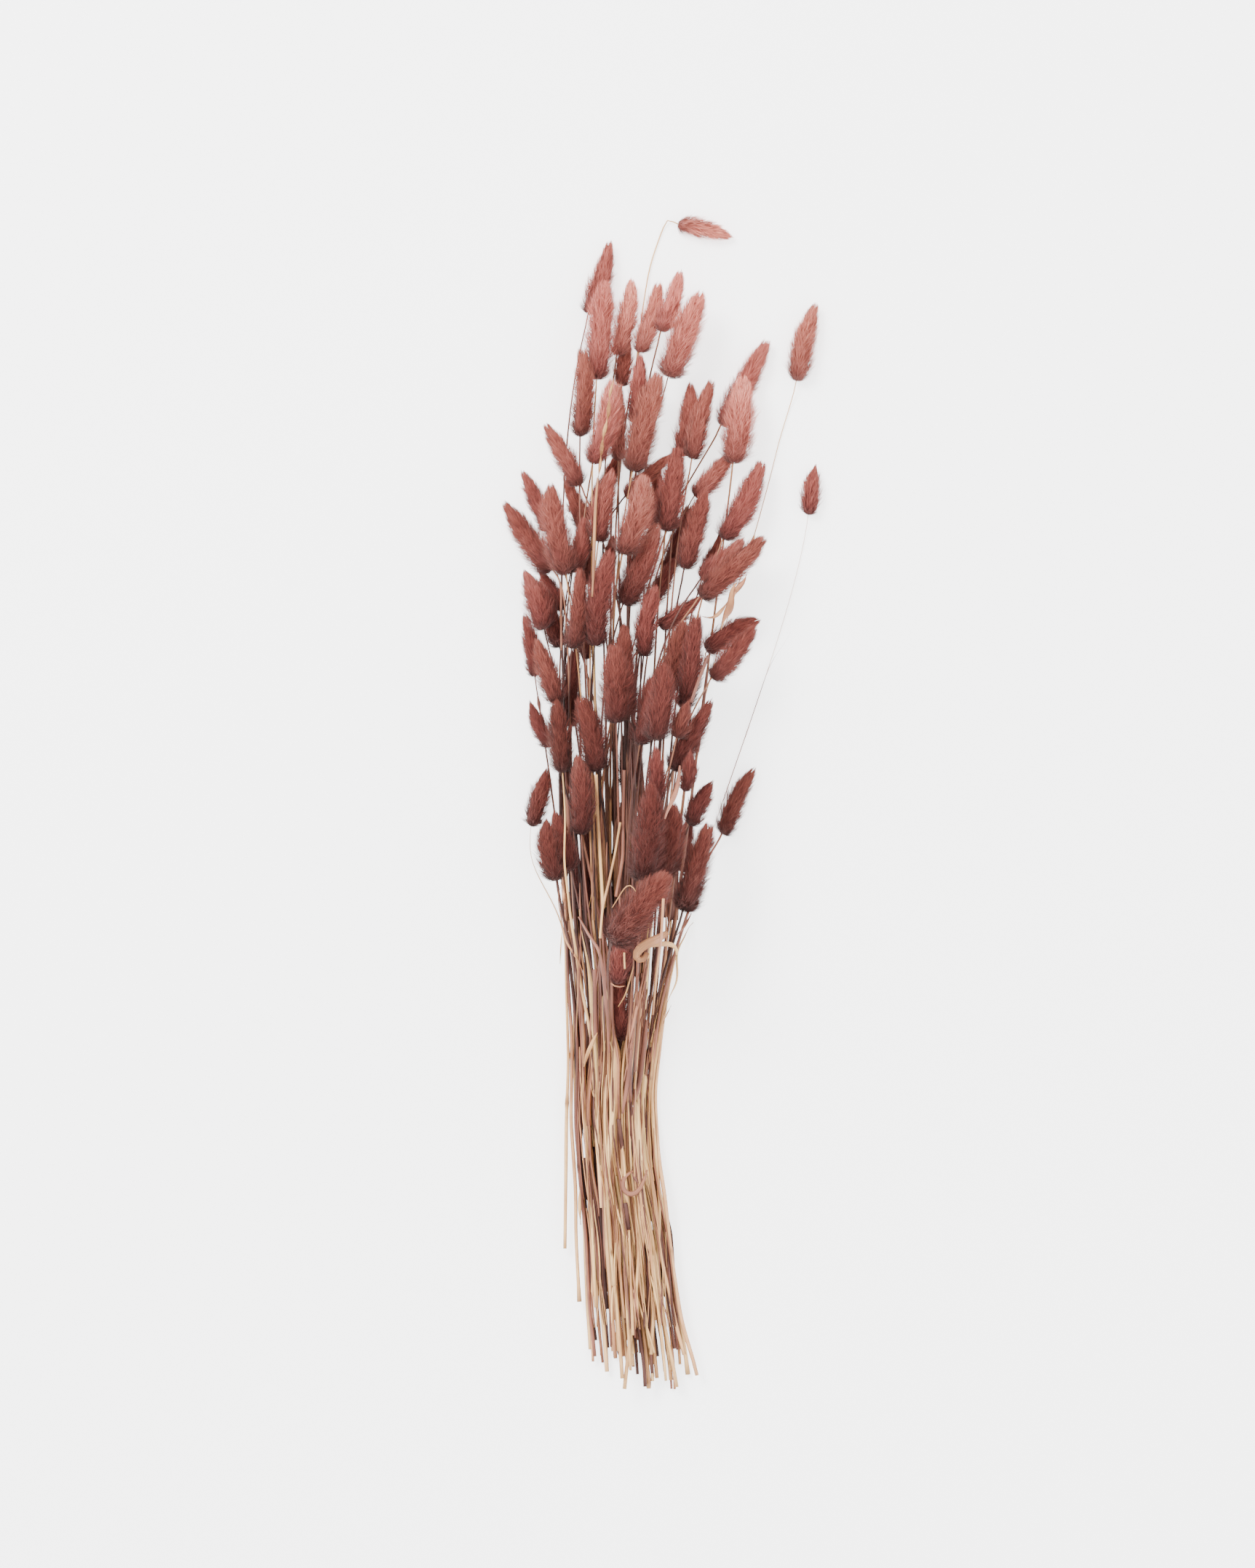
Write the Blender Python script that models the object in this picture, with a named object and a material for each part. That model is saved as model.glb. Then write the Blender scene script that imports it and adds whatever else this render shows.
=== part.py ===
# Dried bunny tail grass: a loose bunch of cut stalks that lies on its side.
# Every stalk is laid in turn on those already there, so each rests on the pile and cuts nothing.
# Lengths are in metres. +Y runs from the cut ends to the heads, +Z up from the table.

import math

import bmesh
import bpy
import numpy as np

# driving dimensions of the real bunch
bunchLength = 0.600          # cut ends to the tip of the topmost head
stemHalfTop = 0.00064        # half thickness of a stem under its head
stemHalfFoot = 0.00095       # half thickness of a stem at its cut end
squareBar = ((-1.0, -1.0), (1.0, -1.0), (1.0, 1.0), (-1.0, 1.0))   # section in half sizes
wedgeBar = ((-1.15, -1.0), (1.15, -1.0), (0.0, 1.0))               # a stem under others
bladeHalfWidth = 0.0012      # half width of a dry leaf
bladeHalfThick = 0.00035     # half thickness of a dry leaf
bladeLimp = 12.0             # how much more limply than a stem it lies
bladeSink = 0.0004           # a dry leaf presses this far into the stems under it
tuftValley = 0.74            # depth between tufts, as a share of the head's radius
tuftReach = 1.05             # how far a tuft leans to the tip, in ring spacings
tuftSpacing = 0.0057         # one ring of tufts to the next
tuftsAround = 6              # vertices round a ring: every other one is a tuft
tuftTurn = 0.35              # turn of a ring on the one before it
tuftJitter = 0.10            # a tuft is up to this share shorter than the longest
fewestRings = 5              # rings of tufts on the shortest head
firstRing = 0.12             # place of the first ring, in ring spacings
firstRingShare = 0.75        # how far that ring is drawn in
lastTuft = 0.985             # no tuft reaches past this share of the head
widestAt = 0.86              # power that moves a head's widest place towards its base
bluntness = 2.6              # power that makes a head's ends blunt
headEndShare = 0.22          # radius at a head's two ends, as a share of its widest

# how the stalks lie on each other
stalkStep = 0.001            # samples along a stalk
mapCell = 0.0005             # cell of the height map of the pile
headFlat = 0.82              # height of a head as a share of its width: the fur presses flat
headGap = 0.0004             # clear space round a head
stemClear = 0.0009           # clear space between a head and the stems of others
stemGap = 0.00012            # clear space between stems
crestRadius = 0.100          # tightest bend of a stalk over what it crosses
hollowRadius = 0.090         # tightest bend of a stalk down between two crossings
neckGive = 0.9               # extra suppleness of the neck under a head
neckLength = 0.020           # length of that supple neck
mapCorner = (-0.115, -0.325)     # corner of the height map on the table
mapSize = (0.230, 0.650)
tableGap = 0.0003            # clear space between the bunch and the table, but for its feet
stemTolerance = 0.00080      # a stem's straight runs stray this far from its curve
neckGap = 0.0003             # head to the end of its stem
layerLead = (-620.0, 0.0, 70.0)   # rows by which deep, middle and front heads are laid later

# neighbouring heads whose fur has grown into each other share a node
headNodes = 57               # nodes left for the heads
mostTogether = 3             # heads in one node at most
tuftTouch = 1.22             # how near their middles come, as a share of their radii
linkRadius = 0.0020          # root of the tuft that reaches from one head into the next
linkClear = 0.0007           # clear space round that tuft
linkEnds = 2                 # samples at a head's two ends that no such tuft starts from

# the bundle below the waist: columns of stems side by side and on each other
bundleColumns = 20
layerPitch = 0.00215         # one stem of a column to the next above it
stemStray = 0.00006          # stems of the bundle stray this far from their places
pressedRow = 1480.0          # from this row on the stems are pressed together
straightRow = 1640.0         # from this row on they run straight
sheathRow = 1700.0           # crushed sheaths lie between the layers from here on
sheathApart = 12.0           # rows from one of them to the next
sheathHalfRows = 6.0         # rows that one of them slants by, to either side of its middle
sheathHalfWidth = 0.0022
sheathHalfThick = 0.00038
sheathPast = 0.4             # it ends this far past the middle of the last stem, in columns

# how a stem runs from its head to its place in the bundle
leanShare = 0.30             # how much of a head's lean decides its side of the bundle
leanSteady = 60.0            # rows added to a head's length, so that a short one leans less
slotStraight = 0.66          # share of a stem's rank that gives its slot evenly
slotSpread = 0.34            # share that spreads the outer slots
neckPull = 0.75              # how long a stem keeps its head's direction, in spans
bundlePull = 0.90            # how early it takes the bundle's direction, in spans
routeSamples = 40            # samples of each stretch of its plan
directionRows = 60.0         # rows to either side that give the bundle's direction
planReach = 9                # samples to either side over which its plan is rounded
neckSamples = 12.0           # samples under the head over which that rounding sets in
bladeReach = 5               # samples over which the plan of a dry leaf is rounded

# the photograph's frame: rows of the bunch's two ends, and the column and row over its middle
topRow = 291.0
footRow = 1930.0
middleColumn = 909.8
middleRow = 1105.6
pixel = bunchLength / (footRow - topRow)

# one head: base column and row, tip column and row, width, layer (0 deep, 1 middle, 2 front)
heads = [
    (932, 303, 1003, 320, 26, 2), (809, 428, 838, 330, 32, 1), (820, 520, 832, 385, 38, 2),
    (848, 487, 868, 382, 29, 1), (854, 528, 864, 465, 26, 0), (879, 483, 906, 388, 29, 1),
    (909, 455, 935, 374, 30, 2), (920, 516, 964, 402, 42, 2), (797, 599, 800, 480, 32, 2),
    (871, 580, 880, 488, 26, 1), (870, 648, 905, 512, 42, 2), (815, 638, 842, 522, 34, 2),
    (850, 632, 851, 528, 26, 1), (808, 712, 850, 625, 26, 0), (823, 746, 841, 648, 34, 2),
    (797, 668, 751, 585, 30, 2), (754, 727, 718, 647, 26, 1), (778, 792, 757, 668, 40, 2),
    (800, 722, 777, 655, 26, 0), (757, 784, 693, 690, 36, 2), (860, 683, 921, 625, 25, 1),
    (915, 731, 931, 616, 38, 2), (936, 625, 950, 526, 32, 1), (952, 630, 978, 523, 30, 1),
    (993, 583, 1056, 465, 34, 1), (1008, 636, 1022, 518, 42, 2), (956, 682, 1004, 624, 29, 1),
    (995, 741, 1047, 635, 38, 2), (941, 783, 970, 672, 32, 2), (893, 726, 905, 635, 26, 0),
    (856, 764, 886, 656, 40, 2), (1097, 521, 1122, 416, 34, 0), (1113, 706, 1122, 640, 25, 0),
    (787, 788, 802, 715, 26, 1), (773, 838, 743, 786, 24, 0), (747, 866, 722, 787, 38, 2),
    (768, 889, 742, 800, 30, 0), (734, 930, 721, 847, 24, 1), (766, 968, 738, 881, 32, 2),
    (786, 892, 797, 785, 28, 1), (785, 1000, 791, 890, 28, 0), (806, 906, 804, 830, 20, 0),
    (818, 889, 839, 760, 38, 2), (857, 832, 903, 722, 42, 1), (828, 800, 842, 738, 22, 0),
    (808, 802, 803, 690, 24, 0), (915, 787, 947, 695, 30, 0), (893, 828, 925, 770, 28, 0),
    (968, 790, 990, 735, 24, 0), (965, 797, 1021, 742, 31, 2), (963, 822, 1050, 740, 38, 2),
    (906, 862, 962, 822, 28, 1), (940, 975, 957, 846, 32, 1), (908, 965, 940, 855, 42, 1),
    (900, 1019, 912, 916, 40, 2), (885, 903, 900, 808, 30, 2), (970, 893, 1042, 852, 34, 1),
    (979, 934, 1036, 865, 32, 2), (930, 1016, 945, 968, 28, 2), (925, 1060, 976, 966, 34, 1),
    (847, 995, 845, 890, 48, 2), (865, 985, 858, 860, 38, 1), (878, 1023, 896, 930, 34, 1),
    (820, 1062, 798, 960, 40, 2), (773, 1063, 765, 965, 32, 2), (757, 1027, 729, 968, 25, 1),
    (799, 1148, 795, 1040, 32, 2), (730, 1136, 751, 1060, 29, 2), (778, 1092, 778, 1040, 22, 0),
    (864, 1085, 868, 992, 34, 0), (899, 1105, 901, 1030, 28, 1), (765, 1211, 751, 1130, 34, 2),
    (785, 1198, 763, 1118, 30, 1), (805, 1252, 797, 1188, 34, 0), (811, 1195, 808, 1118, 22, 0),
    (882, 1210, 895, 1078, 46, 2), (905, 1208, 925, 1105, 44, 1), (842, 1291, 917, 1200, 52, 2),
    (948, 1135, 977, 1077, 29, 1), (995, 1149, 1037, 1058, 30, 2), (940, 1249, 974, 1133, 38, 2),
    (938, 1200, 949, 1125, 26, 0), (941, 1088, 948, 1036, 22, 1), (848, 1353, 856, 1272, 28, 1),
    (854, 1432, 851, 1340, 26, 0), (868, 1345, 878, 1270, 26, 0),
]

# stalks whose stem is bent in a way of its own, by the place of the head in the table
bentStems = {
    0: [(917, 292), (908, 318), (893, 360), (882, 430), (872, 520), (868, 640), (866, 800)],
    19: [(768, 790), (775, 812), (781, 900), (784, 1040)],
    31: [(1087, 556), (1073, 600), (1061, 650), (1037, 738), (1000, 850), (955, 1010)],
    24: [(940, 672), (915, 730), (893, 800)],
    56: [(974, 898), (960, 935), (947, 968)],
    79: [(980, 1168), (966, 1196), (948, 1250)],
}

# the bundle under the heads: row, left column, right column
bundleSides = [(1240, 780, 938), (1300, 777, 932), (1400, 776, 914), (1500, 776, 902), (1600, 776, 905),
               (1700, 786, 924), (1800, 800, 936), (1900, 811, 950)]
bundleColumnsWide = 130.0    # columns of the photograph across it
waistRow = 1420.0
shortestRun = 130.0          # rows a stem takes from its head to the bundle at least
cutColumns = [777, 795, 815, 828, 838, 852, 868, 884, 905, 922, 944, 954]
cutRows = [1722, 1800, 1896, 1905, 1866, 1884, 1890, 1922, 1908, 1922, 1902, 1882]
cutLookup = 1880.0           # row at which a stem's column gives its cut end
cutShort = 70.0              # hidden stems end up to this many rows higher

# swollen joints that the bunch stands on: place of the stalk's head in the table, and the joint's row
feet = [(31, 738.0), (37, 966.0), (44, 1840.0)]
jointHalfWidth = 0.0014
jointHalfLength = 0.0040

# the crushed sheath under the bundle: the stalk it is under, its rows, and its height over the table
restStalk = 29
restRows = (1120.0, 1220.0)
restGap = 0.000001

# dry leaf blades that curl out of the bunch: points of each, on the photograph
blades = [
    [(880, 1312), (892, 1321), (906, 1324), (921, 1312), (918, 1296), (903, 1290), (890, 1298)],
    [(928, 1262), (943, 1300), (936, 1330), (950, 1362), (938, 1392), (925, 1420)],
    [(855, 1600), (853, 1630), (864, 1645), (879, 1632), (875, 1612), (866, 1606)],
    [(770, 1205), (764, 1240), (771, 1275), (778, 1312), (780, 1345)],
]


def onTable(spots):
    """Photograph pixels as points on the table."""
    spots = np.asarray(spots, float)
    return np.stack([(spots[:, 0] - middleColumn) * pixel,
                     (middleRow - spots[:, 1]) * pixel], axis=1)


def photoRow(places):
    """Row of the photograph over places along the bunch."""
    return middleRow - places / pixel


def runLength(points):
    """Distance along a run of points, from its first."""
    return np.concatenate([[0.0], np.cumsum(np.linalg.norm(np.diff(points, axis=0), axis=1))])


def evenRun(points, step):
    """The same run with its samples a step apart."""
    along = runLength(points)
    count = max(2, int(round(along[-1] / step)) + 1)
    places = np.linspace(0.0, along[-1], count)
    return np.stack([np.interp(places, along, points[:, axis]) for axis in range(points.shape[1])], axis=1)


def softened(values, reach):
    """A running mean under a cosine bell, reach samples to either side, ends held."""
    bell = 0.5 + 0.5 * np.cos(np.pi * np.arange(-reach, reach + 1) / (reach + 1))
    bell /= bell.sum()
    padded = np.pad(values, reach, mode="edge")
    return np.convolve(padded, bell, mode="valid")


def hermite(start, startPull, end, endPull, count):
    """A cubic from start to end that leaves and arrives along the two pulls."""
    t = np.linspace(0.0, 1.0, count)[:, None]
    return ((2 * t**3 - 3 * t**2 + 1) * start + (t**3 - 2 * t**2 + t) * startPull
            + (3 * t**2 - 2 * t**3) * end + (t**3 - t**2) * endPull)


def bundleColumn(row, slot):
    """Column of a stem whose slot runs from 0 on the bundle's left side to 1 on its right."""
    rows, lefts, rights = (np.array(side, float) for side in zip(*bundleSides))
    left = np.interp(row, rows, lefts)
    return left + slot * (np.interp(row, rows, rights) - left)


def layingOrder():
    """Heads from the deepest to the frontmost."""
    turns = [head[1] + layerLead[head[5]] for head in heads]
    return [int(index) for index in np.argsort(turns, kind="stable")]


def bundlePlaces():
    """Column of each stem in the bundle, from left to right as the heads stand, and its layer there."""
    table = np.array(heads, float)
    lean = (table[:, 0] - table[:, 2]) / (table[:, 1] - table[:, 3] + leanSteady)
    reached = table[:, 0] + leanShare * lean * (waistRow - table[:, 1])
    side = 2.0 * (np.argsort(np.argsort(reached)) + 0.5) / len(heads) - 1.0
    slot = 0.5 + 0.5 * (slotStraight * side + slotSpread * side**3)
    columns = np.minimum((slot * bundleColumns).astype(int), bundleColumns - 1)
    filled = np.zeros(bundleColumns, int)
    layers = np.zeros(len(heads), int)
    for index in layingOrder():
        layers[index] = filled[columns[index]]
        filled[columns[index]] += 1
    return (columns + 0.5) / bundleColumns, layers


def stalkRoutes(slots):
    """Plan of every stalk from head tip to cut end, and how many samples are head."""
    rng = np.random.default_rng(11)
    routes = []
    for index, (baseU, baseV, tipU, tipV, width, layer) in enumerate(heads):
        base, tip = np.array([baseU, baseV], float), np.array([tipU, tipV], float)
        slot = slots[index] + rng.uniform(-stemStray, stemStray) / (bundleColumnsWide * pixel)
        start = base
        route = [base[None, :]]
        pull = (base - tip) / np.linalg.norm(base - tip)
        if index in bentStems:
            route.append(np.array(bentStems[index], float))
            start = route[-1][-1]
            pull = start - route[-1][-2]
            pull = pull / np.linalg.norm(pull)
        joinRow = max(waistRow, start[1] + shortestRun)
        join = np.array([bundleColumn(joinRow, slot), joinRow])
        span = np.linalg.norm(join - start)
        around = joinRow + np.array([-directionRows, directionRows])
        onward = np.array([np.diff(bundleColumn(around, slot))[0], 2.0 * directionRows])
        onward /= np.linalg.norm(onward)
        leave, arrive = pull * neckPull * span, onward * bundlePull * span
        route.append(hermite(start, leave, join, arrive, routeSamples)[1:])
        cutEnd = np.interp(bundleColumn(cutLookup, slot), cutColumns, cutRows)
        footEnd = cutEnd - cutShort * rng.random() ** 2
        rows = np.linspace(joinRow, footEnd, routeSamples)[1:]
        route.append(np.stack([bundleColumn(rows, slot), rows], axis=1))
        stem = evenRun(onTable(np.concatenate(route)), stalkStep)
        soft = np.stack([softened(stem[:, axis], planReach) for axis in (0, 1)], axis=1)
        fade = np.clip(np.arange(len(stem)) / neckSamples, 0.0, 1.0)[:, None]
        stem = stem * (1.0 - fade) + soft * fade
        head = evenRun(onTable([tip, base]), stalkStep)
        routes.append((np.concatenate([head, stem[1:]]), len(head)))
    return routes


def headRadius(along, width):
    """Radius of a head along itself, 0 at its base and 1 at its tip: a soft spindle."""
    swell = np.clip(1.0 - np.abs(2.0 * along**widestAt - 1.0) ** bluntness, 0.0, 1.0)
    return 0.5 * width * (headEndShare + (1.0 - headEndShare) * np.sqrt(swell))


class Pile:
    """Height maps of the heads and of the stems laid so far."""

    def __init__(self):
        self.low = np.array(mapCorner)
        shape = tuple(int(size / mapCell) for size in mapSize)
        self.heads = np.full(shape, -1.0)
        self.stems = np.full(shape, -1.0)

    def window(self, spot, reach):
        """Cells within reach of a spot, and their squared distance to it."""
        middle = (spot - self.low) / mapCell
        first = np.ceil(middle - reach / mapCell).astype(int)
        last = np.floor(middle + reach / mapCell).astype(int) + 1
        across = (np.arange(first[0], last[0]) - middle[0]) * mapCell
        up = (np.arange(first[1], last[1]) - middle[1]) * mapCell
        return slice(first[0], last[0]), slice(first[1], last[1]), across[:, None] ** 2 + up[None, :] ** 2

    def need(self, plan, radius, isHead):
        """Lowest centre height of each sample that clears the pile."""
        heights = tableGap + np.where(isHead, headFlat * radius, radius)
        for k, (spot, size) in enumerate(zip(plan, radius)):
            if isHead[k]:
                reach = size + headGap
                xs, ys, off = self.window(spot, reach)
                top = np.maximum(self.heads[xs, ys], self.stems[xs, ys] + stemClear - headGap)
                belly = headFlat * np.sqrt(np.clip(reach * reach - off, 0.0, None))
                heights[k] = max(heights[k], np.where(off < reach * reach, top + belly, -1.0).max())
            else:
                xs, ys, off = self.window(spot, size + stemClear)
                heights[k] = max(heights[k], self.heads[xs, ys].max() + stemClear + size)
                xs, ys, off = self.window(spot, size)
                heights[k] = max(heights[k], self.stems[xs, ys].max() + stemGap + size)
        return heights

    def add(self, stalk):
        """Raise the maps over a stalk that has been laid."""
        for k, (spot, size) in enumerate(zip(stalk.line, stalk.radius)):
            xs, ys, off = self.window(spot[:2], size + 0.5 * mapCell)
            if stalk.isHead[k]:
                top = spot[2] + headFlat * np.sqrt(np.clip(size * size - off, 0.0, None))
                top = np.where(off < size * size, top, -1.0)
                self.heads[xs, ys] = np.maximum(self.heads[xs, ys], top)
            else:
                self.stems[xs, ys] = np.maximum(self.stems[xs, ys], spot[2] + size)


def draped(plan, heights, neck, limp=1.0):
    """A springy stalk over what it has to clear: rounded over each crest, then in each hollow."""
    along = runLength(plan) * math.sqrt(limp)
    give = 1.0 + neckGive * np.exp(-((along - along[neck]) / neckLength) ** 2)
    supple = np.concatenate([[0.0], np.cumsum(0.5 * (give[1:] + give[:-1]) * np.diff(along))])
    apart = (supple[:, None] - supple[None, :]) ** 2 / 2.0
    crests = (heights[None, :] - apart / crestRadius).max(axis=1)
    raised = (crests[None, :] - apart / hollowRadius).max(axis=1)
    return (raised[None, :] + apart / hollowRadius).min(axis=1)


def pressed(plan, need, isHead, layer, stray):
    """In the bundle a stem lies at the height of its layer, whatever it meets there."""
    rows = photoRow(plan[:, 1])
    place = tableGap + stemHalfFoot + layer * layerPitch + stray
    share = np.clip((rows - waistRow) / (pressedRow - waistRow), 0.0, 1.0)
    lowered = np.minimum(need, place) * share + need * (1.0 - share)
    return np.where(isHead, need, np.maximum(lowered, np.where(rows > pressedRow, place, 0.0)))


class Stalk:
    """One stalk: its plan, its radii and how many of its samples are head."""

    def __init__(self, index, route, layer, stray):
        self.index, self.layer, self.stray = index, layer, stray
        self.plan, self.count = route
        self.isHead = np.arange(len(self.plan)) < self.count
        along = 1.0 - np.arange(self.count) / (self.count - 1.0)
        rows = photoRow(self.plan[self.count:, 1])
        thicker = np.clip((rows - rows[0]) / (straightRow - rows[0]), 0.0, 1.0)
        self.radius = np.concatenate([headRadius(along, heads[index][4] * pixel),
                                      stemHalfTop + (stemHalfFoot - stemHalfTop) * thicker])
        self.line = None

    def settle(self, pile):
        """Lie down on the pile."""
        need = pile.need(self.plan, self.radius, self.isHead)
        need = pressed(self.plan, need, self.isHead, self.layer, self.stray)
        self.line = np.column_stack([self.plan, draped(self.plan, need, self.count)])


def layBunch():
    """Lay the stalks from the deepest to the frontmost."""
    rng = np.random.default_rng(29)
    pile = Pile()
    slots, layers = bundlePlaces()
    routes = stalkRoutes(slots)
    strays = rng.uniform(0.0, stemStray, len(heads)) * (layers > 0)
    stalks = [Stalk(*each) for each in zip(range(len(heads)), routes, layers, strays)]
    for index in layingOrder():
        stalks[index].settle(pile)
        pile.add(stalks[index])
    return stalks, pile


def clearSpan(stalks, start, end, owners):
    """Whether a tuft from start to end stays clear of every stem and of the other heads."""
    spots = start + np.linspace(0.0, 1.0, 12)[:, None] * (end - start)
    for stalk in stalks:
        clear = stalk.radius * math.sqrt(2.0) + linkRadius + linkClear
        if stalk.index in owners:
            clear = np.where(stalk.isHead, 0.0, clear)
        if (np.linalg.norm(spots[:, None] - stalk.line[None], axis=2) < clear).any():
            return False
    return True


def grownTogether(stalks):
    """Groups of neighbouring heads, and the spans of the tufts that join them."""
    found = []
    for one in stalks:
        for other in stalks[:one.index]:
            mine, theirs = slice(linkEnds, one.count - linkEnds), slice(linkEnds, other.count - linkEnds)
            apart = np.linalg.norm(one.line[mine, None] - other.line[None, theirs], axis=2)
            share = apart / (one.radius[mine, None] + other.radius[None, theirs])
            if share.min() < tuftTouch:
                first, second = np.unravel_index(share.argmin(), share.shape)
                found.append((share.min(), one.index, other.index, one.line[mine][first],
                              other.line[theirs][second]))
    groups = {stalk.index: [stalk.index] for stalk in stalks}
    links = []
    for share, one, other, start, end in sorted(found, key=lambda item: item[0]):
        if len({id(group) for group in groups.values()}) <= headNodes:
            break
        together = groups[one] + groups[other]
        if groups[one] is groups[other] or len(together) > mostTogether:
            continue
        if clearSpan(stalks, start, end, (one, other)):
            for index in together:
                groups[index] = together
            links.append((one, start, end))
    return groups, links


def crossways(points):
    """Level sideways direction at each point of a run, and the direction up from its line there."""
    ahead = np.gradient(points, axis=0)
    side = np.column_stack([ahead[:, 1], -ahead[:, 0], np.zeros(len(ahead))])
    side /= np.linalg.norm(side, axis=1)[:, None]
    up = np.cross(side, ahead)
    return side, up / np.linalg.norm(up, axis=1)[:, None]


def fewerPoints(points, tolerance):
    """Places of the points that a run needs to stay within the tolerance of its curve."""
    keep = {0, len(points) - 1}
    spans = [(0, len(points) - 1)]
    while spans:
        first, last = spans.pop()
        if last - first < 2:
            continue
        chord = points[last] - points[first]
        between = points[first + 1:last] - points[first]
        share = np.clip(between @ chord / (chord @ chord), 0.0, 1.0)
        away = np.linalg.norm(between - share[:, None] * chord, axis=1)
        if away.max() > tolerance:
            middle = first + 1 + int(away.argmax())
            keep.add(middle)
            spans += [(first, middle), (middle, last)]
    return sorted(keep)


def solidMesh(name, rings, startPole=None, endPole=None):
    """Closed skin over rings of equally many points: capped flat, or by a pole at either end."""
    mesh = bmesh.new()
    loops = [[mesh.verts.new(point) for point in ring] for ring in rings]
    sides = len(loops[0])
    for lower, upper in zip(loops, loops[1:]):
        for j in range(sides):
            n = (j + 1) % sides
            mesh.faces.new((lower[j], lower[n], upper[n], upper[j]))
    for loop, pole in ((loops[0], startPole), (loops[-1], endPole)):
        if pole is None:
            mesh.faces.new(loop)
        else:
            top = mesh.verts.new(pole)
            for j in range(sides):
                mesh.faces.new((loop[j], loop[(j + 1) % sides], top))
    bmesh.ops.recalc_face_normals(mesh, faces=mesh.faces)
    bmesh.ops.triangulate(mesh, faces=mesh.faces)
    data = bpy.data.meshes.new(name)
    mesh.to_mesh(data)
    mesh.free()
    return bpy.data.objects.new(name, data)


def headObject(stalk):
    """A head: rings of tufts that lean over each other, every other ring turned by one tuft."""
    rng = np.random.default_rng(500 + stalk.index)
    line, radius = stalk.line[:stalk.count][::-1], stalk.radius[:stalk.count][::-1]
    along = runLength(line)
    length = along[-1]
    rings = max(fewestRings, int(round(length / tuftSpacing)))
    spacing = length / rings
    side, up = crossways(line)
    loops = []
    turn = rng.uniform(0.0, math.tau)
    for k in range(rings):
        angles = turn + tuftTurn * k + math.tau * np.arange(tuftsAround) / tuftsAround
        isTuft = (np.arange(tuftsAround) + k) % 2 == 0
        jitter = rng.uniform(1.0 - tuftJitter, 1.0, tuftsAround)
        place = (k + firstRing) * spacing + np.where(isTuft, tuftReach * spacing * jitter, 0.0)
        place = np.minimum(place, length * lastTuft)
        reach = np.interp(place, along, radius) * np.where(isTuft, jitter, tuftValley * jitter)
        if k == 0:
            reach *= firstRingShare
        centre = np.stack([np.interp(place, along, line[:, axis]) for axis in range(3)], axis=1)
        nearest = np.searchsorted(along, place).clip(0, len(along) - 1)
        offset = (np.cos(angles)[:, None] * side[nearest] + headFlat * np.sin(angles)[:, None] * up[nearest])
        loops.append(centre + offset * reach[:, None])
    return solidMesh("head", loops, line[0], line[-1])


def tuftObject(start, end):
    """A tuft that reaches from the middle of one head into the next."""
    side, up = (directions[0] for directions in crossways(np.array([start, end])))
    turns = math.tau * np.arange(3) / 3
    ring = [start + linkRadius * (math.cos(turn) * side + math.sin(turn) * up) for turn in turns]
    return solidMesh("tuft", [ring], None, end)


def barObject(points, halfWidth, halfThick, section):
    """A bar along a run of points, level from side to side: its section is in half sizes."""
    halfWidth, halfThick = (np.broadcast_to(half, len(points)) for half in (halfWidth, halfThick))
    side = crossways(points)[0]
    upward = np.array([0.0, 0.0, 1.0])
    rings = [[points[k] + halfWidth[k] * across * side[k] + halfThick[k] * above * upward
              for across, above in section] for k in range(len(points))]
    return solidMesh("bar", rings)


def stemObject(stalk, section):
    """A stem, from just under its head to its cut end, straight from the straight row on."""
    line, half = stalk.line[stalk.count - 1:].copy(), stalk.radius[stalk.count - 1:].copy()
    step = line[1] - line[0]
    line[0] += step * neckGap / np.linalg.norm(step)
    half[0] = half[1]
    straight = int(np.searchsorted(photoRow(line[:, 1]), straightRow))
    keep = fewerPoints(line[:straight], stemTolerance) + [len(line) - 1]
    return barObject(line[keep], half[keep], half[keep], section)


def bladeObject(pile, spots):
    """A dry leaf blade that lies curled on the pile."""
    plan = evenRun(onTable(spots), stalkStep)
    plan = np.stack([softened(plan[:, axis], bladeReach) for axis in (0, 1)], axis=1)
    need = pile.need(plan, np.full(len(plan), bladeHalfWidth), np.zeros(len(plan), bool))
    need = np.maximum(need - bladeHalfWidth + bladeHalfThick - bladeSink, tableGap + bladeHalfThick)
    heights = draped(plan, need, 0, bladeLimp)
    line = np.column_stack([plan, heights])
    return barObject(line[fewerPoints(line, stemTolerance)], bladeHalfWidth, bladeHalfThick, squareBar)


def sheathObjects():
    """Crushed leaf sheaths across the bundle: wide ones between every other two layers of stems."""
    slots, layers = bundlePlaces()
    strips = []
    for level in range(int(layers.max())):
        ends = np.sort(slots[layers >= level])[[0, -1]]
        past = sheathPast / bundleColumns
        if level % 2:
            ends, past = np.array([0.5, 0.5]), 2.0 * past
        ends = ends + np.array([-past, past])
        rows = sheathRow + level * sheathApart + np.array([-sheathHalfRows, sheathHalfRows])
        plan = onTable(np.stack([bundleColumn(rows, ends), rows], axis=1))
        height = tableGap + stemHalfFoot + (level + 0.5) * layerPitch + 0.5 * stemStray
        line = np.column_stack([plan, [height, height]])
        strips.append(barObject(line, sheathHalfWidth, sheathHalfThick, squareBar))
    return strips


def jointObject(stalk, row):
    """A swollen joint of a stem: its lowest point touches the table."""
    k = int(np.searchsorted(photoRow(stalk.line[:, 1]), row))
    centre = stalk.line[k]
    along = (stalk.line[k + 1] - stalk.line[k - 1]) * np.array([1.0, 1.0, 0.0])
    along *= jointHalfLength / np.linalg.norm(along)
    side = crossways(stalk.line)[0][k] * jointHalfWidth
    down = np.array([0.0, 0.0, centre[2]])
    return solidMesh("joint", [[centre + side, centre - down, centre - side, centre + down]],
                     centre - along, centre + along)


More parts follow.
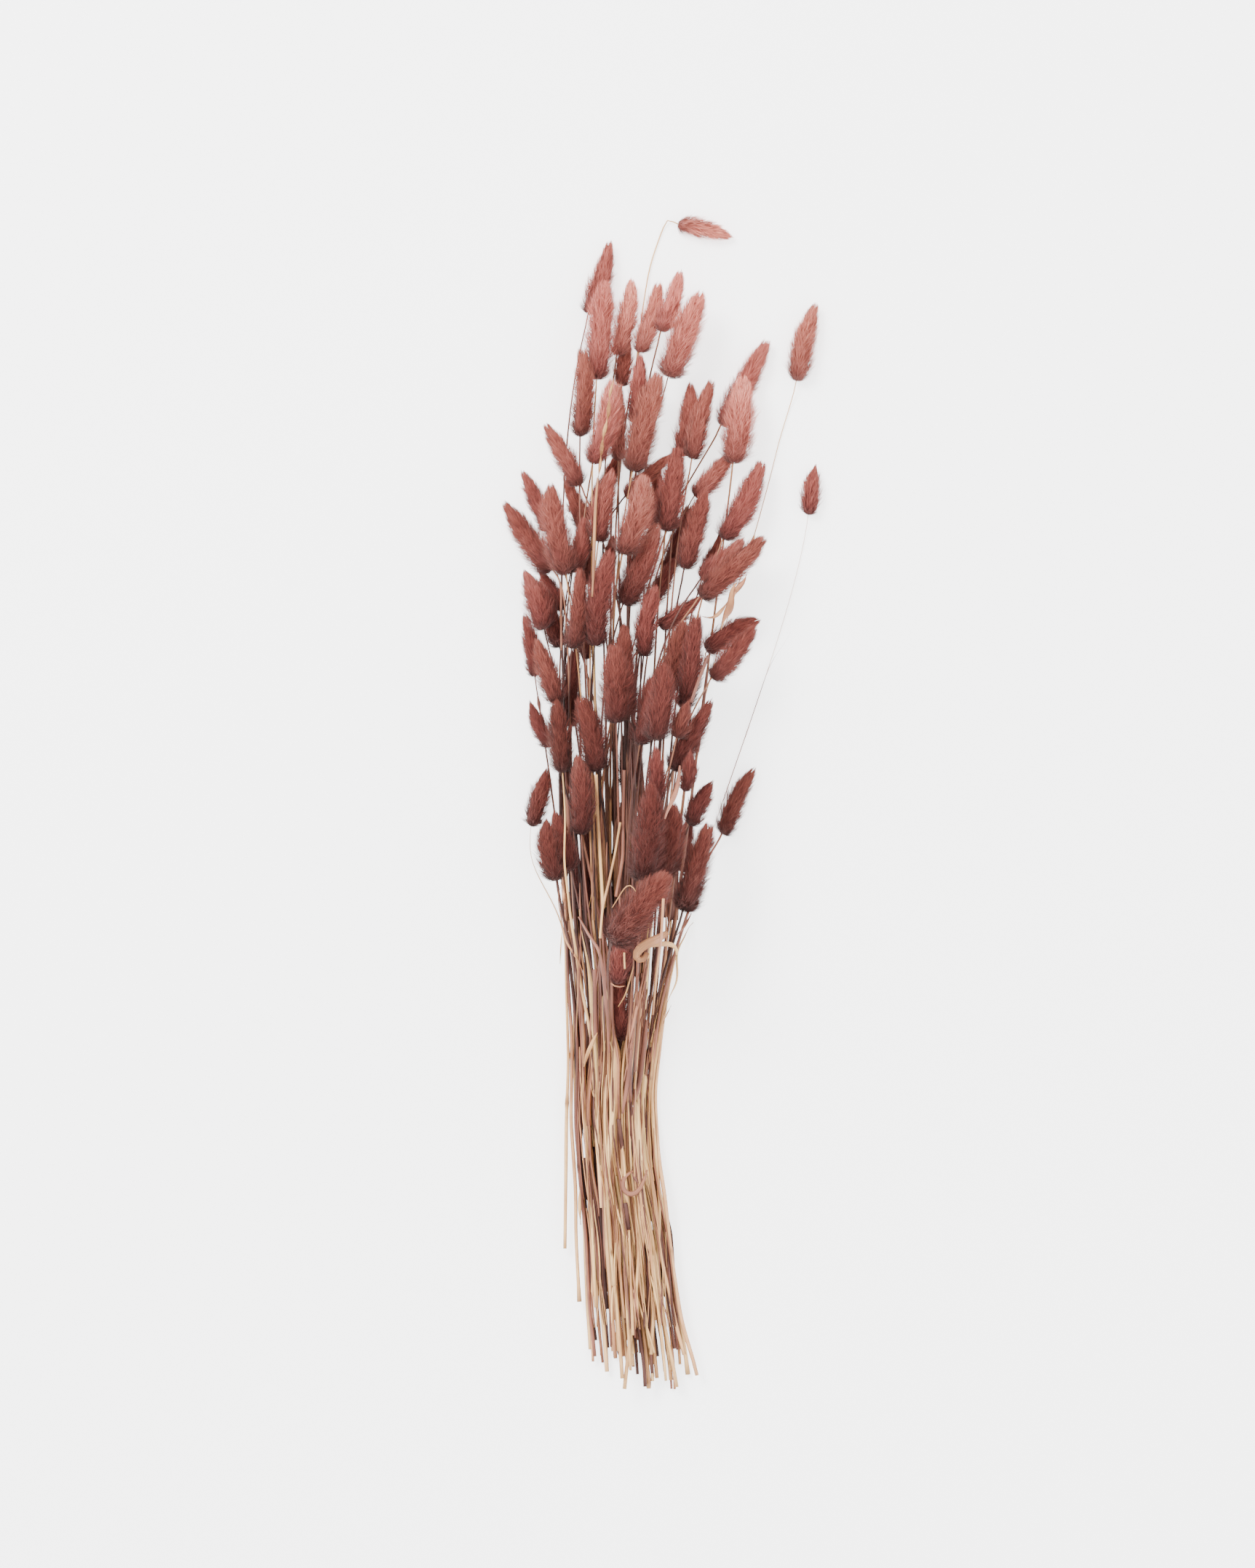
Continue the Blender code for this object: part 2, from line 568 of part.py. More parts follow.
def restObject(stalk):
    """The crushed sheath under a stem, which lies flat on the table."""
    first, last = np.searchsorted(photoRow(stalk.line[:, 1]), restRows)
    line = stalk.line[[first, last]].copy()
    line[:, 2] = restGap + sheathHalfThick
    return barObject(line, sheathHalfWidth, sheathHalfThick, squareBar)


def joined(name, pieces, collection):
    """One Boolean union of all the pieces, applied, with the pieces then removed."""
    body = pieces[0]
    collection.objects.link(body)
    body.name = name
    if len(pieces) == 1:
        return body
    others = bpy.data.collections.new(name + "-pieces")
    bpy.context.scene.collection.children.link(others)
    for piece in pieces[1:]:
        others.objects.link(piece)
    union = body.modifiers.new("union", "BOOLEAN")
    union.operation = "UNION"
    union.operand_type = "COLLECTION"
    union.solver = "MANIFOLD"
    union.collection = others
    evaluated = body.evaluated_get(bpy.context.evaluated_depsgraph_get())
    body.data = bpy.data.meshes.new_from_object(evaluated)
    body.modifiers.clear()
    for piece in list(others.objects):
        bpy.data.objects.remove(piece)
    bpy.data.collections.remove(others)
    return body


def material(name, color, roughness):
    """A plain finish."""
    finish = bpy.data.materials.new(name)
    finish.use_nodes = True
    shader = finish.node_tree.nodes["Principled BSDF"]
    shader.inputs["Base Color"].default_value = (*color, 1.0)
    shader.inputs["Roughness"].default_value = roughness
    return finish


def buildBunch():
    """All the nodes of the bunch."""
    for leftover in list(bpy.data.objects):
        bpy.data.objects.remove(leftover)
    collection = bpy.data.collections.new("bunny tail grass")
    bpy.context.scene.collection.children.link(collection)
    rose = material("dry rose heads", (0.42, 0.19, 0.16), 0.85)
    straw = material("dry straw stems", (0.62, 0.45, 0.30), 0.6)
    stalks, pile = layBunch()
    groups, links = grownTogether(stalks)
    for group in {id(group): group for group in groups.values()}.values():
        pieces = [headObject(stalks[index]) for index in group]
        pieces += [tuftObject(start, end) for one, start, end in links if one in group]
        numbers = "_".join("{:02d}".format(index + 1) for index in sorted(group))
        head = joined("head_" + numbers, pieces, collection)
        head.data.materials.clear()
        head.data.materials.append(rose)

    slots, layers = bundlePlaces()
    topmost = [layer == layers[slots == slot].max() for slot, layer in zip(slots, layers)]
    stems = [stemObject(stalk, squareBar if topmost[stalk.index] else wedgeBar) for stalk in stalks]
    leaves = [bladeObject(pile, spots) for spots in blades]
    rests = [jointObject(stalks[index], row) for index, row in feet] + [restObject(stalks[restStalk])]
    bundle = joined("stems", stems + sheathObjects() + rests + leaves, collection)
    bundle.data.materials.clear()
    bundle.data.materials.append(straw)


buildBunch()
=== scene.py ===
# Dried bunny tail grass: the looks of a loose bunch that lies on its side.
# The stalks are laid on each other by the rule that made the solids, so every piece lies where its
# solid does. Then each head gets its fur and each stem its skin, joints and sheaths.
# Metres, +Y from the cut ends to the heads, +Z up from the table.

import math

import bpy
import numpy as np
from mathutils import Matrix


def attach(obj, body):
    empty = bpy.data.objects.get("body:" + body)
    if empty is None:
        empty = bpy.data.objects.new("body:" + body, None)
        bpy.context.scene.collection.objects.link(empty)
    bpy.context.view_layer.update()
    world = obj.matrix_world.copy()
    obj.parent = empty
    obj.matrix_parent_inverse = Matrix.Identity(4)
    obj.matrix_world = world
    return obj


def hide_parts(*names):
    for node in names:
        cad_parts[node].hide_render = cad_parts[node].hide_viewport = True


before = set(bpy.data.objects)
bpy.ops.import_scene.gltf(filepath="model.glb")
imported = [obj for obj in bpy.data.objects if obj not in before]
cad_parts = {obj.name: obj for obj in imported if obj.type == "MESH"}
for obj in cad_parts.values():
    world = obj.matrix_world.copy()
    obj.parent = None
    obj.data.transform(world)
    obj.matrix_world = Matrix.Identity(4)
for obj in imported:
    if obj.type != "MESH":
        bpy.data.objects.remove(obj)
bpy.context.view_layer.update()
print("frame loaded:", len(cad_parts), "solids")

bunch = {
    "pixel": 0.600 / (1930.0 - 291.0),   # metres for a pixel of the photograph
    "middle": (909.8, 1105.6),   # column and row over the middle of the bunch
    "stemHalf": (0.00064, 0.00095),   # half thickness under the head and in the bundle
    "step": 0.001,   # samples along a stalk
    "cell": 0.0005,   # cell of the height map of the pile
    "mapCorner": (-0.115, -0.325),
    "mapSize": (0.230, 0.650),
    "headFlat": 0.82,   # height of a head as a share of its width
    "headGap": 0.0004,
    "stemClear": 0.0009,
    "stemGap": 0.00012,
    "tableGap": 0.0003,   # clear space between the bunch and the table
    "crestRadius": 0.100,   # tightest bend over what a stalk crosses
    "hollowRadius": 0.090,   # tightest bend down between two crossings
    "neckGive": 0.9,
    "neckLength": 0.020,
    "layerLead": (-620.0, 0.0, 70.0),   # rows by which deep, middle and front heads are laid later
    "columns": 20,   # the bundle: columns of stems side by side and on each other
    "columnsWide": 130.0,
    "layerPitch": 0.00215,
    "stray": 0.00006,
    "waistRow": 1420.0,
    "pressedRow": 1480.0,
    "straightRow": 1640.0,
    "shortestRun": 130.0,
    "routeSeed": 11,
    "straySeed": 29,
    "leafSeed": 400,
    "empty": -1.0,   # height in the maps where nothing lies
    "sides": [(1240, 780, 938), (1300, 777, 932), (1400, 776, 914), (1500, 776, 902), (1600, 776, 905),
              (1700, 786, 924), (1800, 800, 936), (1900, 811, 950)],   # row, left and right column
    "cutColumns": [777, 795, 815, 828, 838, 852, 868, 884, 905, 922, 944, 954],
    "cutRows": [1722, 1800, 1896, 1905, 1866, 1884, 1890, 1922, 1908, 1922, 1902, 1882],
    "cutLookup": 1880.0,
    "cutShort": 70.0,
    "lean": (0.30, 60.0),
    "slotMix": (0.66, 0.34),
    "pulls": (0.75, 0.90),
    "routeSamples": 40,
    "directionRows": 60.0,
    "planReach": 9,
    "neckSamples": 12.0,
    "headShape": (0.86, 2.6, 0.22),   # where it is widest, how blunt, and its ends' radius
}

# one head: base column and row, tip column and row, width, layer (0 deep, 1 middle, 2 front)
heads = [
    (932, 303, 1003, 320, 26, 2), (809, 428, 838, 330, 32, 1), (820, 520, 832, 385, 38, 2),
    (848, 487, 868, 382, 29, 1), (854, 528, 864, 465, 26, 0), (879, 483, 906, 388, 29, 1),
    (909, 455, 935, 374, 30, 2), (920, 516, 964, 402, 42, 2), (797, 599, 800, 480, 32, 2),
    (871, 580, 880, 488, 26, 1), (870, 648, 905, 512, 42, 2), (815, 638, 842, 522, 34, 2),
    (850, 632, 851, 528, 26, 1), (808, 712, 850, 625, 26, 0), (823, 746, 841, 648, 34, 2),
    (797, 668, 751, 585, 30, 2), (754, 727, 718, 647, 26, 1), (778, 792, 757, 668, 40, 2),
    (800, 722, 777, 655, 26, 0), (757, 784, 693, 690, 36, 2), (860, 683, 921, 625, 25, 1),
    (915, 731, 931, 616, 38, 2), (936, 625, 950, 526, 32, 1), (952, 630, 978, 523, 30, 1),
    (993, 583, 1056, 465, 34, 1), (1008, 636, 1022, 518, 42, 2), (956, 682, 1004, 624, 29, 1),
    (995, 741, 1047, 635, 38, 2), (941, 783, 970, 672, 32, 2), (893, 726, 905, 635, 26, 0),
    (856, 764, 886, 656, 40, 2), (1097, 521, 1122, 416, 34, 0), (1113, 706, 1122, 640, 25, 0),
    (787, 788, 802, 715, 26, 1), (773, 838, 743, 786, 24, 0), (747, 866, 722, 787, 38, 2),
    (768, 889, 742, 800, 30, 0), (734, 930, 721, 847, 24, 1), (766, 968, 738, 881, 32, 2),
    (786, 892, 797, 785, 28, 1), (785, 1000, 791, 890, 28, 0), (806, 906, 804, 830, 20, 0),
    (818, 889, 839, 760, 38, 2), (857, 832, 903, 722, 42, 1), (828, 800, 842, 738, 22, 0),
    (808, 802, 803, 690, 24, 0), (915, 787, 947, 695, 30, 0), (893, 828, 925, 770, 28, 0),
    (968, 790, 990, 735, 24, 0), (965, 797, 1021, 742, 31, 2), (963, 822, 1050, 740, 38, 2),
    (906, 862, 962, 822, 28, 1), (940, 975, 957, 846, 32, 1), (908, 965, 940, 855, 42, 1),
    (900, 1019, 912, 916, 40, 2), (885, 903, 900, 808, 30, 2), (970, 893, 1042, 852, 34, 1),
    (979, 934, 1036, 865, 32, 2), (930, 1016, 945, 968, 28, 2), (925, 1060, 976, 966, 34, 1),
    (847, 995, 845, 890, 48, 2), (865, 985, 858, 860, 38, 1), (878, 1023, 896, 930, 34, 1),
    (820, 1062, 798, 960, 40, 2), (773, 1063, 765, 965, 32, 2), (757, 1027, 729, 968, 25, 1),
    (799, 1148, 795, 1040, 32, 2), (730, 1136, 751, 1060, 29, 2), (778, 1092, 778, 1040, 22, 0),
    (864, 1085, 868, 992, 34, 0), (899, 1105, 901, 1030, 28, 1), (765, 1211, 751, 1130, 34, 2),
    (785, 1198, 763, 1118, 30, 1), (805, 1252, 797, 1188, 34, 0), (811, 1195, 808, 1118, 22, 0),
    (882, 1210, 895, 1078, 46, 2), (905, 1208, 925, 1105, 44, 1), (842, 1291, 917, 1200, 52, 2),
    (948, 1135, 977, 1077, 29, 1), (995, 1149, 1037, 1058, 30, 2), (940, 1249, 974, 1133, 38, 2),
    (938, 1200, 949, 1125, 26, 0), (941, 1088, 948, 1036, 22, 1), (848, 1353, 856, 1272, 28, 1),
    (854, 1432, 851, 1340, 26, 0), (868, 1345, 878, 1270, 26, 0),
]

# stalks whose stem is bent in a way of its own, by the place of the head in the table
bentStems = {
    0: [(917, 292), (908, 318), (893, 360), (882, 430), (872, 520), (868, 640), (866, 800)],
    19: [(768, 790), (775, 812), (781, 900), (784, 1040)],
    31: [(1087, 556), (1073, 600), (1061, 650), (1037, 738), (1000, 850), (955, 1010)],
    24: [(940, 672), (915, 730), (893, 800)],
    56: [(974, 898), (960, 935), (947, 968)],
    79: [(980, 1168), (966, 1196), (948, 1250)],
}


def onTable(spots):   # pixels of the photograph as points on the table
    spots = np.asarray(spots, float)
    return np.stack([(spots[:, 0] - bunch["middle"][0]) * bunch["pixel"],
                     (bunch["middle"][1] - spots[:, 1]) * bunch["pixel"]], axis=1)


def photoRow(places):   # row of the photograph over places along the bunch
    return bunch["middle"][1] - places / bunch["pixel"]


def runLength(points):   # distance along a run of points from its first
    return np.concatenate([[0.0], np.cumsum(np.linalg.norm(np.diff(points, axis=0), axis=1))])


def sampled(values, along, places):   # values of a run, looked up at other places along it
    return np.stack([np.interp(places, along, column) for column in values.T], axis=-1)


def evenRun(points, step):   # the same run with its samples a step apart
    along = runLength(points)
    return sampled(points, along, np.linspace(0.0, along[-1], max(2, int(round(along[-1] / step)) + 1)))


def softened(values, reach):   # running mean under a cosine bell, ends held
    weights = 0.5 + 0.5 * np.cos(np.pi * np.arange(-reach, reach + 1) / (reach + 1))
    return np.convolve(np.pad(values, reach, mode="edge"), weights / weights.sum(), mode="valid")


def softenedRun(points, reach):   # the same for each axis of a run of points
    return np.stack([softened(values, reach) for values in points.T], axis=1)


def smoothStep(values, low, high):   # 0 below low, 1 above high, an s-curve 3t^2 - 2t^3 between
    t = np.clip((np.asarray(values, float) - low) / (high - low), 0.0, 1.0)
    return t * t * (3.0 - 2.0 * t)


def stepped(values, low, high, first, gain):   # first below low, first + gain above high
    return first + gain * smoothStep(values, low, high)


def bell(values):   # e^(-x^2)
    return np.exp(-values**2)


def ripple(phase, size, rng):   # a wave of this size that starts anywhere in its turn
    return size * np.sin(phase + rng.uniform(0.0, 6.0))


def unit(vectors):   # of length 1 in the same direction
    return vectors / np.linalg.norm(vectors, axis=-1, keepdims=True)


def hermite(start, startPull, end, endPull, count):   # cubic that leaves and arrives along the pulls
    t = np.linspace(0.0, 1.0, count)[:, None]
    return ((2 * t**3 - 3 * t**2 + 1) * start + (t**3 - 2 * t**2 + t) * startPull
            + (3 * t**2 - 2 * t**3) * end + (t**3 - t**2) * endPull)


def bundleColumn(row, slot):   # column of a stem: slot 0 is the bundle's left side, 1 its right
    rows, lefts, rights = (np.array(side, float) for side in zip(*bunch["sides"]))
    left = np.interp(row, rows, lefts)
    return left + slot * (np.interp(row, rows, rights) - left)


def layingOrder():   # from the deepest to the frontmost
    turns = [head[1] + bunch["layerLead"][head[5]] for head in heads]
    return [int(index) for index in np.argsort(turns, kind="stable")]


def bundlePlaces():   # each stem's column in the bundle, as the heads stand, and its layer there
    table, columns = np.array(heads, float), bunch["columns"]
    lean = (table[:, 0] - table[:, 2]) / (table[:, 1] - table[:, 3] + bunch["lean"][1])
    reached = table[:, 0] + bunch["lean"][0] * lean * (bunch["waistRow"] - table[:, 1])
    side = 2.0 * (np.argsort(np.argsort(reached)) + 0.5) / len(heads) - 1.0
    slot = 0.5 + 0.5 * (bunch["slotMix"][0] * side + bunch["slotMix"][1] * side**3)
    column = np.minimum((slot * columns).astype(int), columns - 1)
    filled, layers = np.zeros(columns, int), np.zeros(len(heads), int)
    for index in layingOrder():
        layers[index] = filled[column[index]]
        filled[column[index]] += 1
    return (column + 0.5) / columns, layers


def stalkRoutes(slots):   # plan of every stalk from head tip to cut end, and its samples that are head
    rng, routes = np.random.default_rng(bunch["routeSeed"]), []
    width = bunch["columnsWide"] * bunch["pixel"]
    for index, (baseU, baseV, tipU, tipV, _, _) in enumerate(heads):
        base, tip = np.array([baseU, baseV], float), np.array([tipU, tipV], float)
        slot = slots[index] + rng.uniform(-bunch["stray"], bunch["stray"]) / width
        start, route = base, [base[None, :]]
        pull = unit(base - tip)
        if index in bentStems:
            route.append(np.array(bentStems[index], float))
            start = route[-1][-1]
            pull = unit(start - route[-1][-2])
        joinRow = max(bunch["waistRow"], start[1] + bunch["shortestRun"])
        join = np.array([bundleColumn(joinRow, slot), joinRow])
        span = np.linalg.norm(join - start)
        around = joinRow + np.array([-1.0, 1.0]) * bunch["directionRows"]
        onward = unit(np.array([np.diff(bundleColumn(around, slot))[0], 2.0 * bunch["directionRows"]]))
        leave, arrive = pull * bunch["pulls"][0] * span, onward * bunch["pulls"][1] * span
        route.append(hermite(start, leave, join, arrive, bunch["routeSamples"])[1:])
        cutEnd = np.interp(bundleColumn(bunch["cutLookup"], slot), bunch["cutColumns"], bunch["cutRows"])
        rows = np.linspace(joinRow, cutEnd - bunch["cutShort"] * rng.random() ** 2, bunch["routeSamples"])[1:]
        route.append(np.stack([bundleColumn(rows, slot), rows], axis=1))
        stem = evenRun(onTable(np.concatenate(route)), bunch["step"])
        soft = softenedRun(stem, bunch["planReach"])
        fade = np.clip(np.arange(len(stem)) / bunch["neckSamples"], 0.0, 1.0)[:, None]
        head = evenRun(onTable([tip, base]), bunch["step"])
        routes.append((np.concatenate([head, (stem * (1.0 - fade) + soft * fade)[1:]]), len(head)))
    return routes


def headRadius(along, width):   # soft spindle: half width times a root-shaped swell, 0 base, 1 tip
    widest, blunt, ends = bunch["headShape"]
    swell = np.clip(1.0 - np.abs(2.0 * np.clip(along, 0.0, 1.0) ** widest - 1.0) ** blunt, 0.0, 1.0)
    return 0.5 * width * (ends + (1.0 - ends) * np.sqrt(swell))


class Pile:   # height maps of the heads and of the stems laid so far

    def __init__(self):
        self.low = np.array(bunch["mapCorner"])
        shape = tuple(int(size / bunch["cell"]) for size in bunch["mapSize"])
        self.heads, self.stems = np.full(shape, bunch["empty"]), np.full(shape, bunch["empty"])

    def window(self, spot, reach):   # cells within reach of a spot, and their squared distance
        cell = bunch["cell"]
        middle = (spot - self.low) / cell
        first = np.ceil(middle - reach / cell).astype(int)
        last = np.floor(middle + reach / cell).astype(int) + 1
        across = (np.arange(first[0], last[0]) - middle[0]) * cell
        up = (np.arange(first[1], last[1]) - middle[1]) * cell
        return slice(first[0], last[0]), slice(first[1], last[1]), across[:, None] ** 2 + up[None, :] ** 2

    def need(self, plan, radius, isHead):   # lowest centre height of each sample that clears the pile
        flat, clear = bunch["headFlat"], bunch["stemClear"]
        heights = bunch["tableGap"] + np.where(isHead, flat * radius, radius)
        for k, (spot, size) in enumerate(zip(plan, radius)):
            if isHead[k]:
                reach = size + bunch["headGap"]
                xs, ys, off = self.window(spot, reach)
                top = np.maximum(self.heads[xs, ys], self.stems[xs, ys] + clear - bunch["headGap"])
                belly = flat * np.sqrt(np.clip(reach * reach - off, 0.0, None))
                heights[k] = max(heights[k], np.where(off < reach * reach, top + belly, bunch["empty"]).max())
            else:
                xs, ys, off = self.window(spot, size + clear)
                heights[k] = max(heights[k], self.heads[xs, ys].max() + clear + size)
                xs, ys, off = self.window(spot, size)
                heights[k] = max(heights[k], self.stems[xs, ys].max() + bunch["stemGap"] + size)
        return heights

    def needOver(self, plan, radius):   # the same for a run of one radius that isn't a head
        return self.need(plan, np.full(len(plan), radius), np.zeros(len(plan), bool))

    def furry(self, plan):   # where a head lies on top
        across, up = ((plan - self.low) / bunch["cell"]).astype(int).T
        return self.heads[across, up] > self.stems[across, up]

    def add(self, stalk):   # raise the maps over a stalk that has been laid
        for k, (spot, size) in enumerate(zip(stalk["line"], stalk["radius"])):
            xs, ys, off = self.window(spot[:2], size + 0.5 * bunch["cell"])
            if stalk["isHead"][k]:
                top = spot[2] + bunch["headFlat"] * np.sqrt(np.clip(size * size - off, 0.0, None))
                top = np.where(off < size * size, top, bunch["empty"])
                self.heads[xs, ys] = np.maximum(self.heads[xs, ys], top)
            else:
                self.stems[xs, ys] = np.maximum(self.stems[xs, ys], spot[2] + size)


def draped(plan, heights, neck, limp=1.0):   # a springy stalk rounded over each crest and in each hollow
    along = runLength(plan) * math.sqrt(limp)
    give = 1.0 + bunch["neckGive"] * bell((along - along[neck]) / bunch["neckLength"])
    supple = np.concatenate([[0.0], np.cumsum(0.5 * (give[1:] + give[:-1]) * np.diff(along))])
    apart = (supple[:, None] - supple[None, :]) ** 2 / 2.0
    crests = (heights[None, :] - apart / bunch["crestRadius"]).max(axis=1)
    raised = (crests[None, :] - apart / bunch["hollowRadius"]).max(axis=1)
    return (raised[None, :] + apart / bunch["hollowRadius"]).min(axis=1)


def pressed(plan, need, isHead, layer, stray):   # in the bundle a stem lies at its layer's height
    rows = photoRow(plan[:, 1])
    place = bunch["tableGap"] + bunch["stemHalf"][1] + layer * bunch["layerPitch"] + stray
    share = np.clip((rows - bunch["waistRow"]) / (bunch["pressedRow"] - bunch["waistRow"]), 0.0, 1.0)
    lowered = np.minimum(need, place) * share + need * (1.0 - share)
    return np.where(isHead, need, np.maximum(lowered, np.where(rows > bunch["pressedRow"], place, 0.0)))


def layBunch():   # every stalk laid on those already there
    pile = Pile()
    slots, layers = bundlePlaces()
    rng = np.random.default_rng(bunch["straySeed"])
    strays, stalks = rng.uniform(0.0, bunch["stray"], len(heads)) * (layers > 0), []
    for index, (plan, count) in enumerate(stalkRoutes(slots)):
        along = 1.0 - np.arange(count) / (count - 1.0)
        rows = photoRow(plan[count:, 1])
        thicker = np.clip((rows - rows[0]) / (bunch["straightRow"] - rows[0]), 0.0, 1.0)
        thin, thick = bunch["stemHalf"]
        radius = np.concatenate([headRadius(along, heads[index][4] * bunch["pixel"]),
                                 thin + (thick - thin) * thicker])
        stalks.append({"plan": plan, "count": count, "radius": radius, "slot": slots[index],
                       "layer": layers[index], "isHead": np.arange(len(plan)) < count})
    for index in layingOrder():
        stalk = stalks[index]
        need = pile.need(stalk["plan"], stalk["radius"], stalk["isHead"])
        need = pressed(stalk["plan"], need, stalk["isHead"], stalk["layer"], strays[index])
        stalk["line"] = np.column_stack([stalk["plan"], draped(stalk["plan"], need, stalk["count"])])
        pile.add(stalk)
    return stalks, pile


def crossways(points):   # level sideways direction at each point of a run, and the one up from its line
    ahead = np.gradient(points, axis=0)
    side = unit(np.column_stack([ahead[:, 1], -ahead[:, 0], np.zeros(len(ahead))]))
    return side, unit(np.cross(side, ahead))


def addToScene(name, content):   # the object that shows a mesh, camera or lamp
    thing = bpy.data.objects.new(name, content)
    bpy.context.scene.collection.objects.link(thing)
    return thing


class Skin:   # points, faces and per-point fields of one piece, gathered patch by patch

    def __init__(self):
        self.points, self.faces, self.fields, self.count, self.triangles = [], [], {}, 0, 0

    def add(self, points, faces, **fields):   # a patch, with one value or one for each point in every field
        points = points.reshape(-1, 3)
        self.points.append(points)
        self.faces += [face + self.count for face in faces]
        self.triangles += sum(len(face) * (face.shape[1] - 2) for face in faces)
        for name, values in fields.items():
            self.fields.setdefault(name, []).append(np.broadcast_to(values, len(points)))
        self.count += len(points)

    def piece(self, name, finish):   # the mesh, smooth shaded, with its fields as attributes
        points = np.concatenate(self.points).astype(np.float32)
        sizes = np.concatenate([np.full(len(face), face.shape[1], np.int32) for face in self.faces])
        corners = np.concatenate([face.ravel() for face in self.faces]).astype(np.int32)
        starts = np.concatenate([[0], np.cumsum(sizes)[:-1]]).astype(np.int32)
        mesh = bpy.data.meshes.new(name)
        mesh.vertices.add(len(points))
        mesh.vertices.foreach_set("co", points.ravel())
        mesh.loops.add(len(corners))
        mesh.loops.foreach_set("vertex_index", corners)
        mesh.polygons.add(len(sizes))
        mesh.polygons.foreach_set("loop_start", starts)
        mesh.polygons.foreach_set("loop_total", sizes)
        for field, parts in self.fields.items():
            attribute = mesh.attributes.new(field, "FLOAT", "POINT")
            attribute.data.foreach_set("value", np.concatenate(parts).astype(np.float32))
        mesh.update(calc_edges=True)
        mesh.polygons.foreach_set("use_smooth", np.ones(len(sizes), bool))
        mesh.materials.append(finish)
        piece = addToScene(name, mesh)
        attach(piece, "root")
        return piece


def tubeFaces(rings, sides):   # quads round a tube and its two end caps, for rings that turn from side to up
    lower = np.arange(rings - 1)[:, None] * sides
    here, after = np.arange(sides)[None, :], (np.arange(sides)[None, :] + 1) % sides
    quads = np.stack([lower + here, lower + sides + here, lower + sides + after, lower + after], axis=-1)
    return [quads.reshape(-1, 4), here, here[:, ::-1] + (rings - 1) * sides]


def ringTurns(sides, first=0.0):   # cosine and sine at the corners of a ring, over ring, corner and axis
    turns = math.tau * np.arange(sides) / sides + first
    return np.cos(turns)[None, :, None], np.sin(turns)[None, :, None]


class Finish:   # a Principled material and the nodes that feed it

    def __init__(self, name, inputs):
        self.material = bpy.data.materials.new(name)
        self.material.use_nodes = True
        self.shader = self.material.node_tree.nodes["Principled BSDF"]
        self.fill(self.shader, inputs)

    def fill(self, node, inputs):   # each by number or name, with a value or with another node's output
        for key, value in inputs.items():
            if isinstance(value, bpy.types.NodeSocket):
                self.material.node_tree.links.new(value, node.inputs[key])
            else:
                node.inputs[key].default_value = value

    def node(self, kind, inputs, **settings):   # one shader node, set up and filled
        node = self.material.node_tree.nodes.new("ShaderNode" + kind)
        for key, value in settings.items():
            setattr(node, key, value)
        self.fill(node, inputs)
        return node

    def ramp(self, factor, *stops):   # stops: place, then a linear colour
        node = self.node("ValToRGB", {"Fac": factor})
        elements = node.color_ramp.elements
        while len(elements) < len(stops):
            elements.new(0.5)
        for element, (place, colour) in zip(elements, stops):
            element.position, element.color = place, (*colour, 1.0)
        return node.outputs["Color"]

    def evenRamp(self, factor, *colours):   # the colours evenly spaced from 0 to 1
        return self.ramp(factor, *zip(np.linspace(0.0, 1.0, len(colours)), colours))

    def field(self, name):   # a value that the mesh carries at its points
        return self.node("Attribute", {}, attribute_name=name).outputs["Fac"]

    def maths(self, operation, first, second, clamp=False):   # two values or numbers, clamped to 0 to 1 or not
        return self.node("Math", {0: first, 1: second}, operation=operation, use_clamp=clamp).outputs[0]

    def weighted(self, total, *terms):   # a number plus each value times its weight
        for value, weight in terms:
            total = self.maths("ADD", total, self.maths("MULTIPLY", value, weight))
        return total

    def mixed(self, share, first, second, blend="MIX"):   # first + share (second - first)
        inputs = {0: share, 6: first, 7: second}
        return self.node("Mix", inputs, data_type="RGBA", blend_type=blend).outputs[2]

    def product(self, colour, *others):   # colours times each other
        for other in others:
            colour = self.mixed(1.0, colour, other, "MULTIPLY")
        return colour


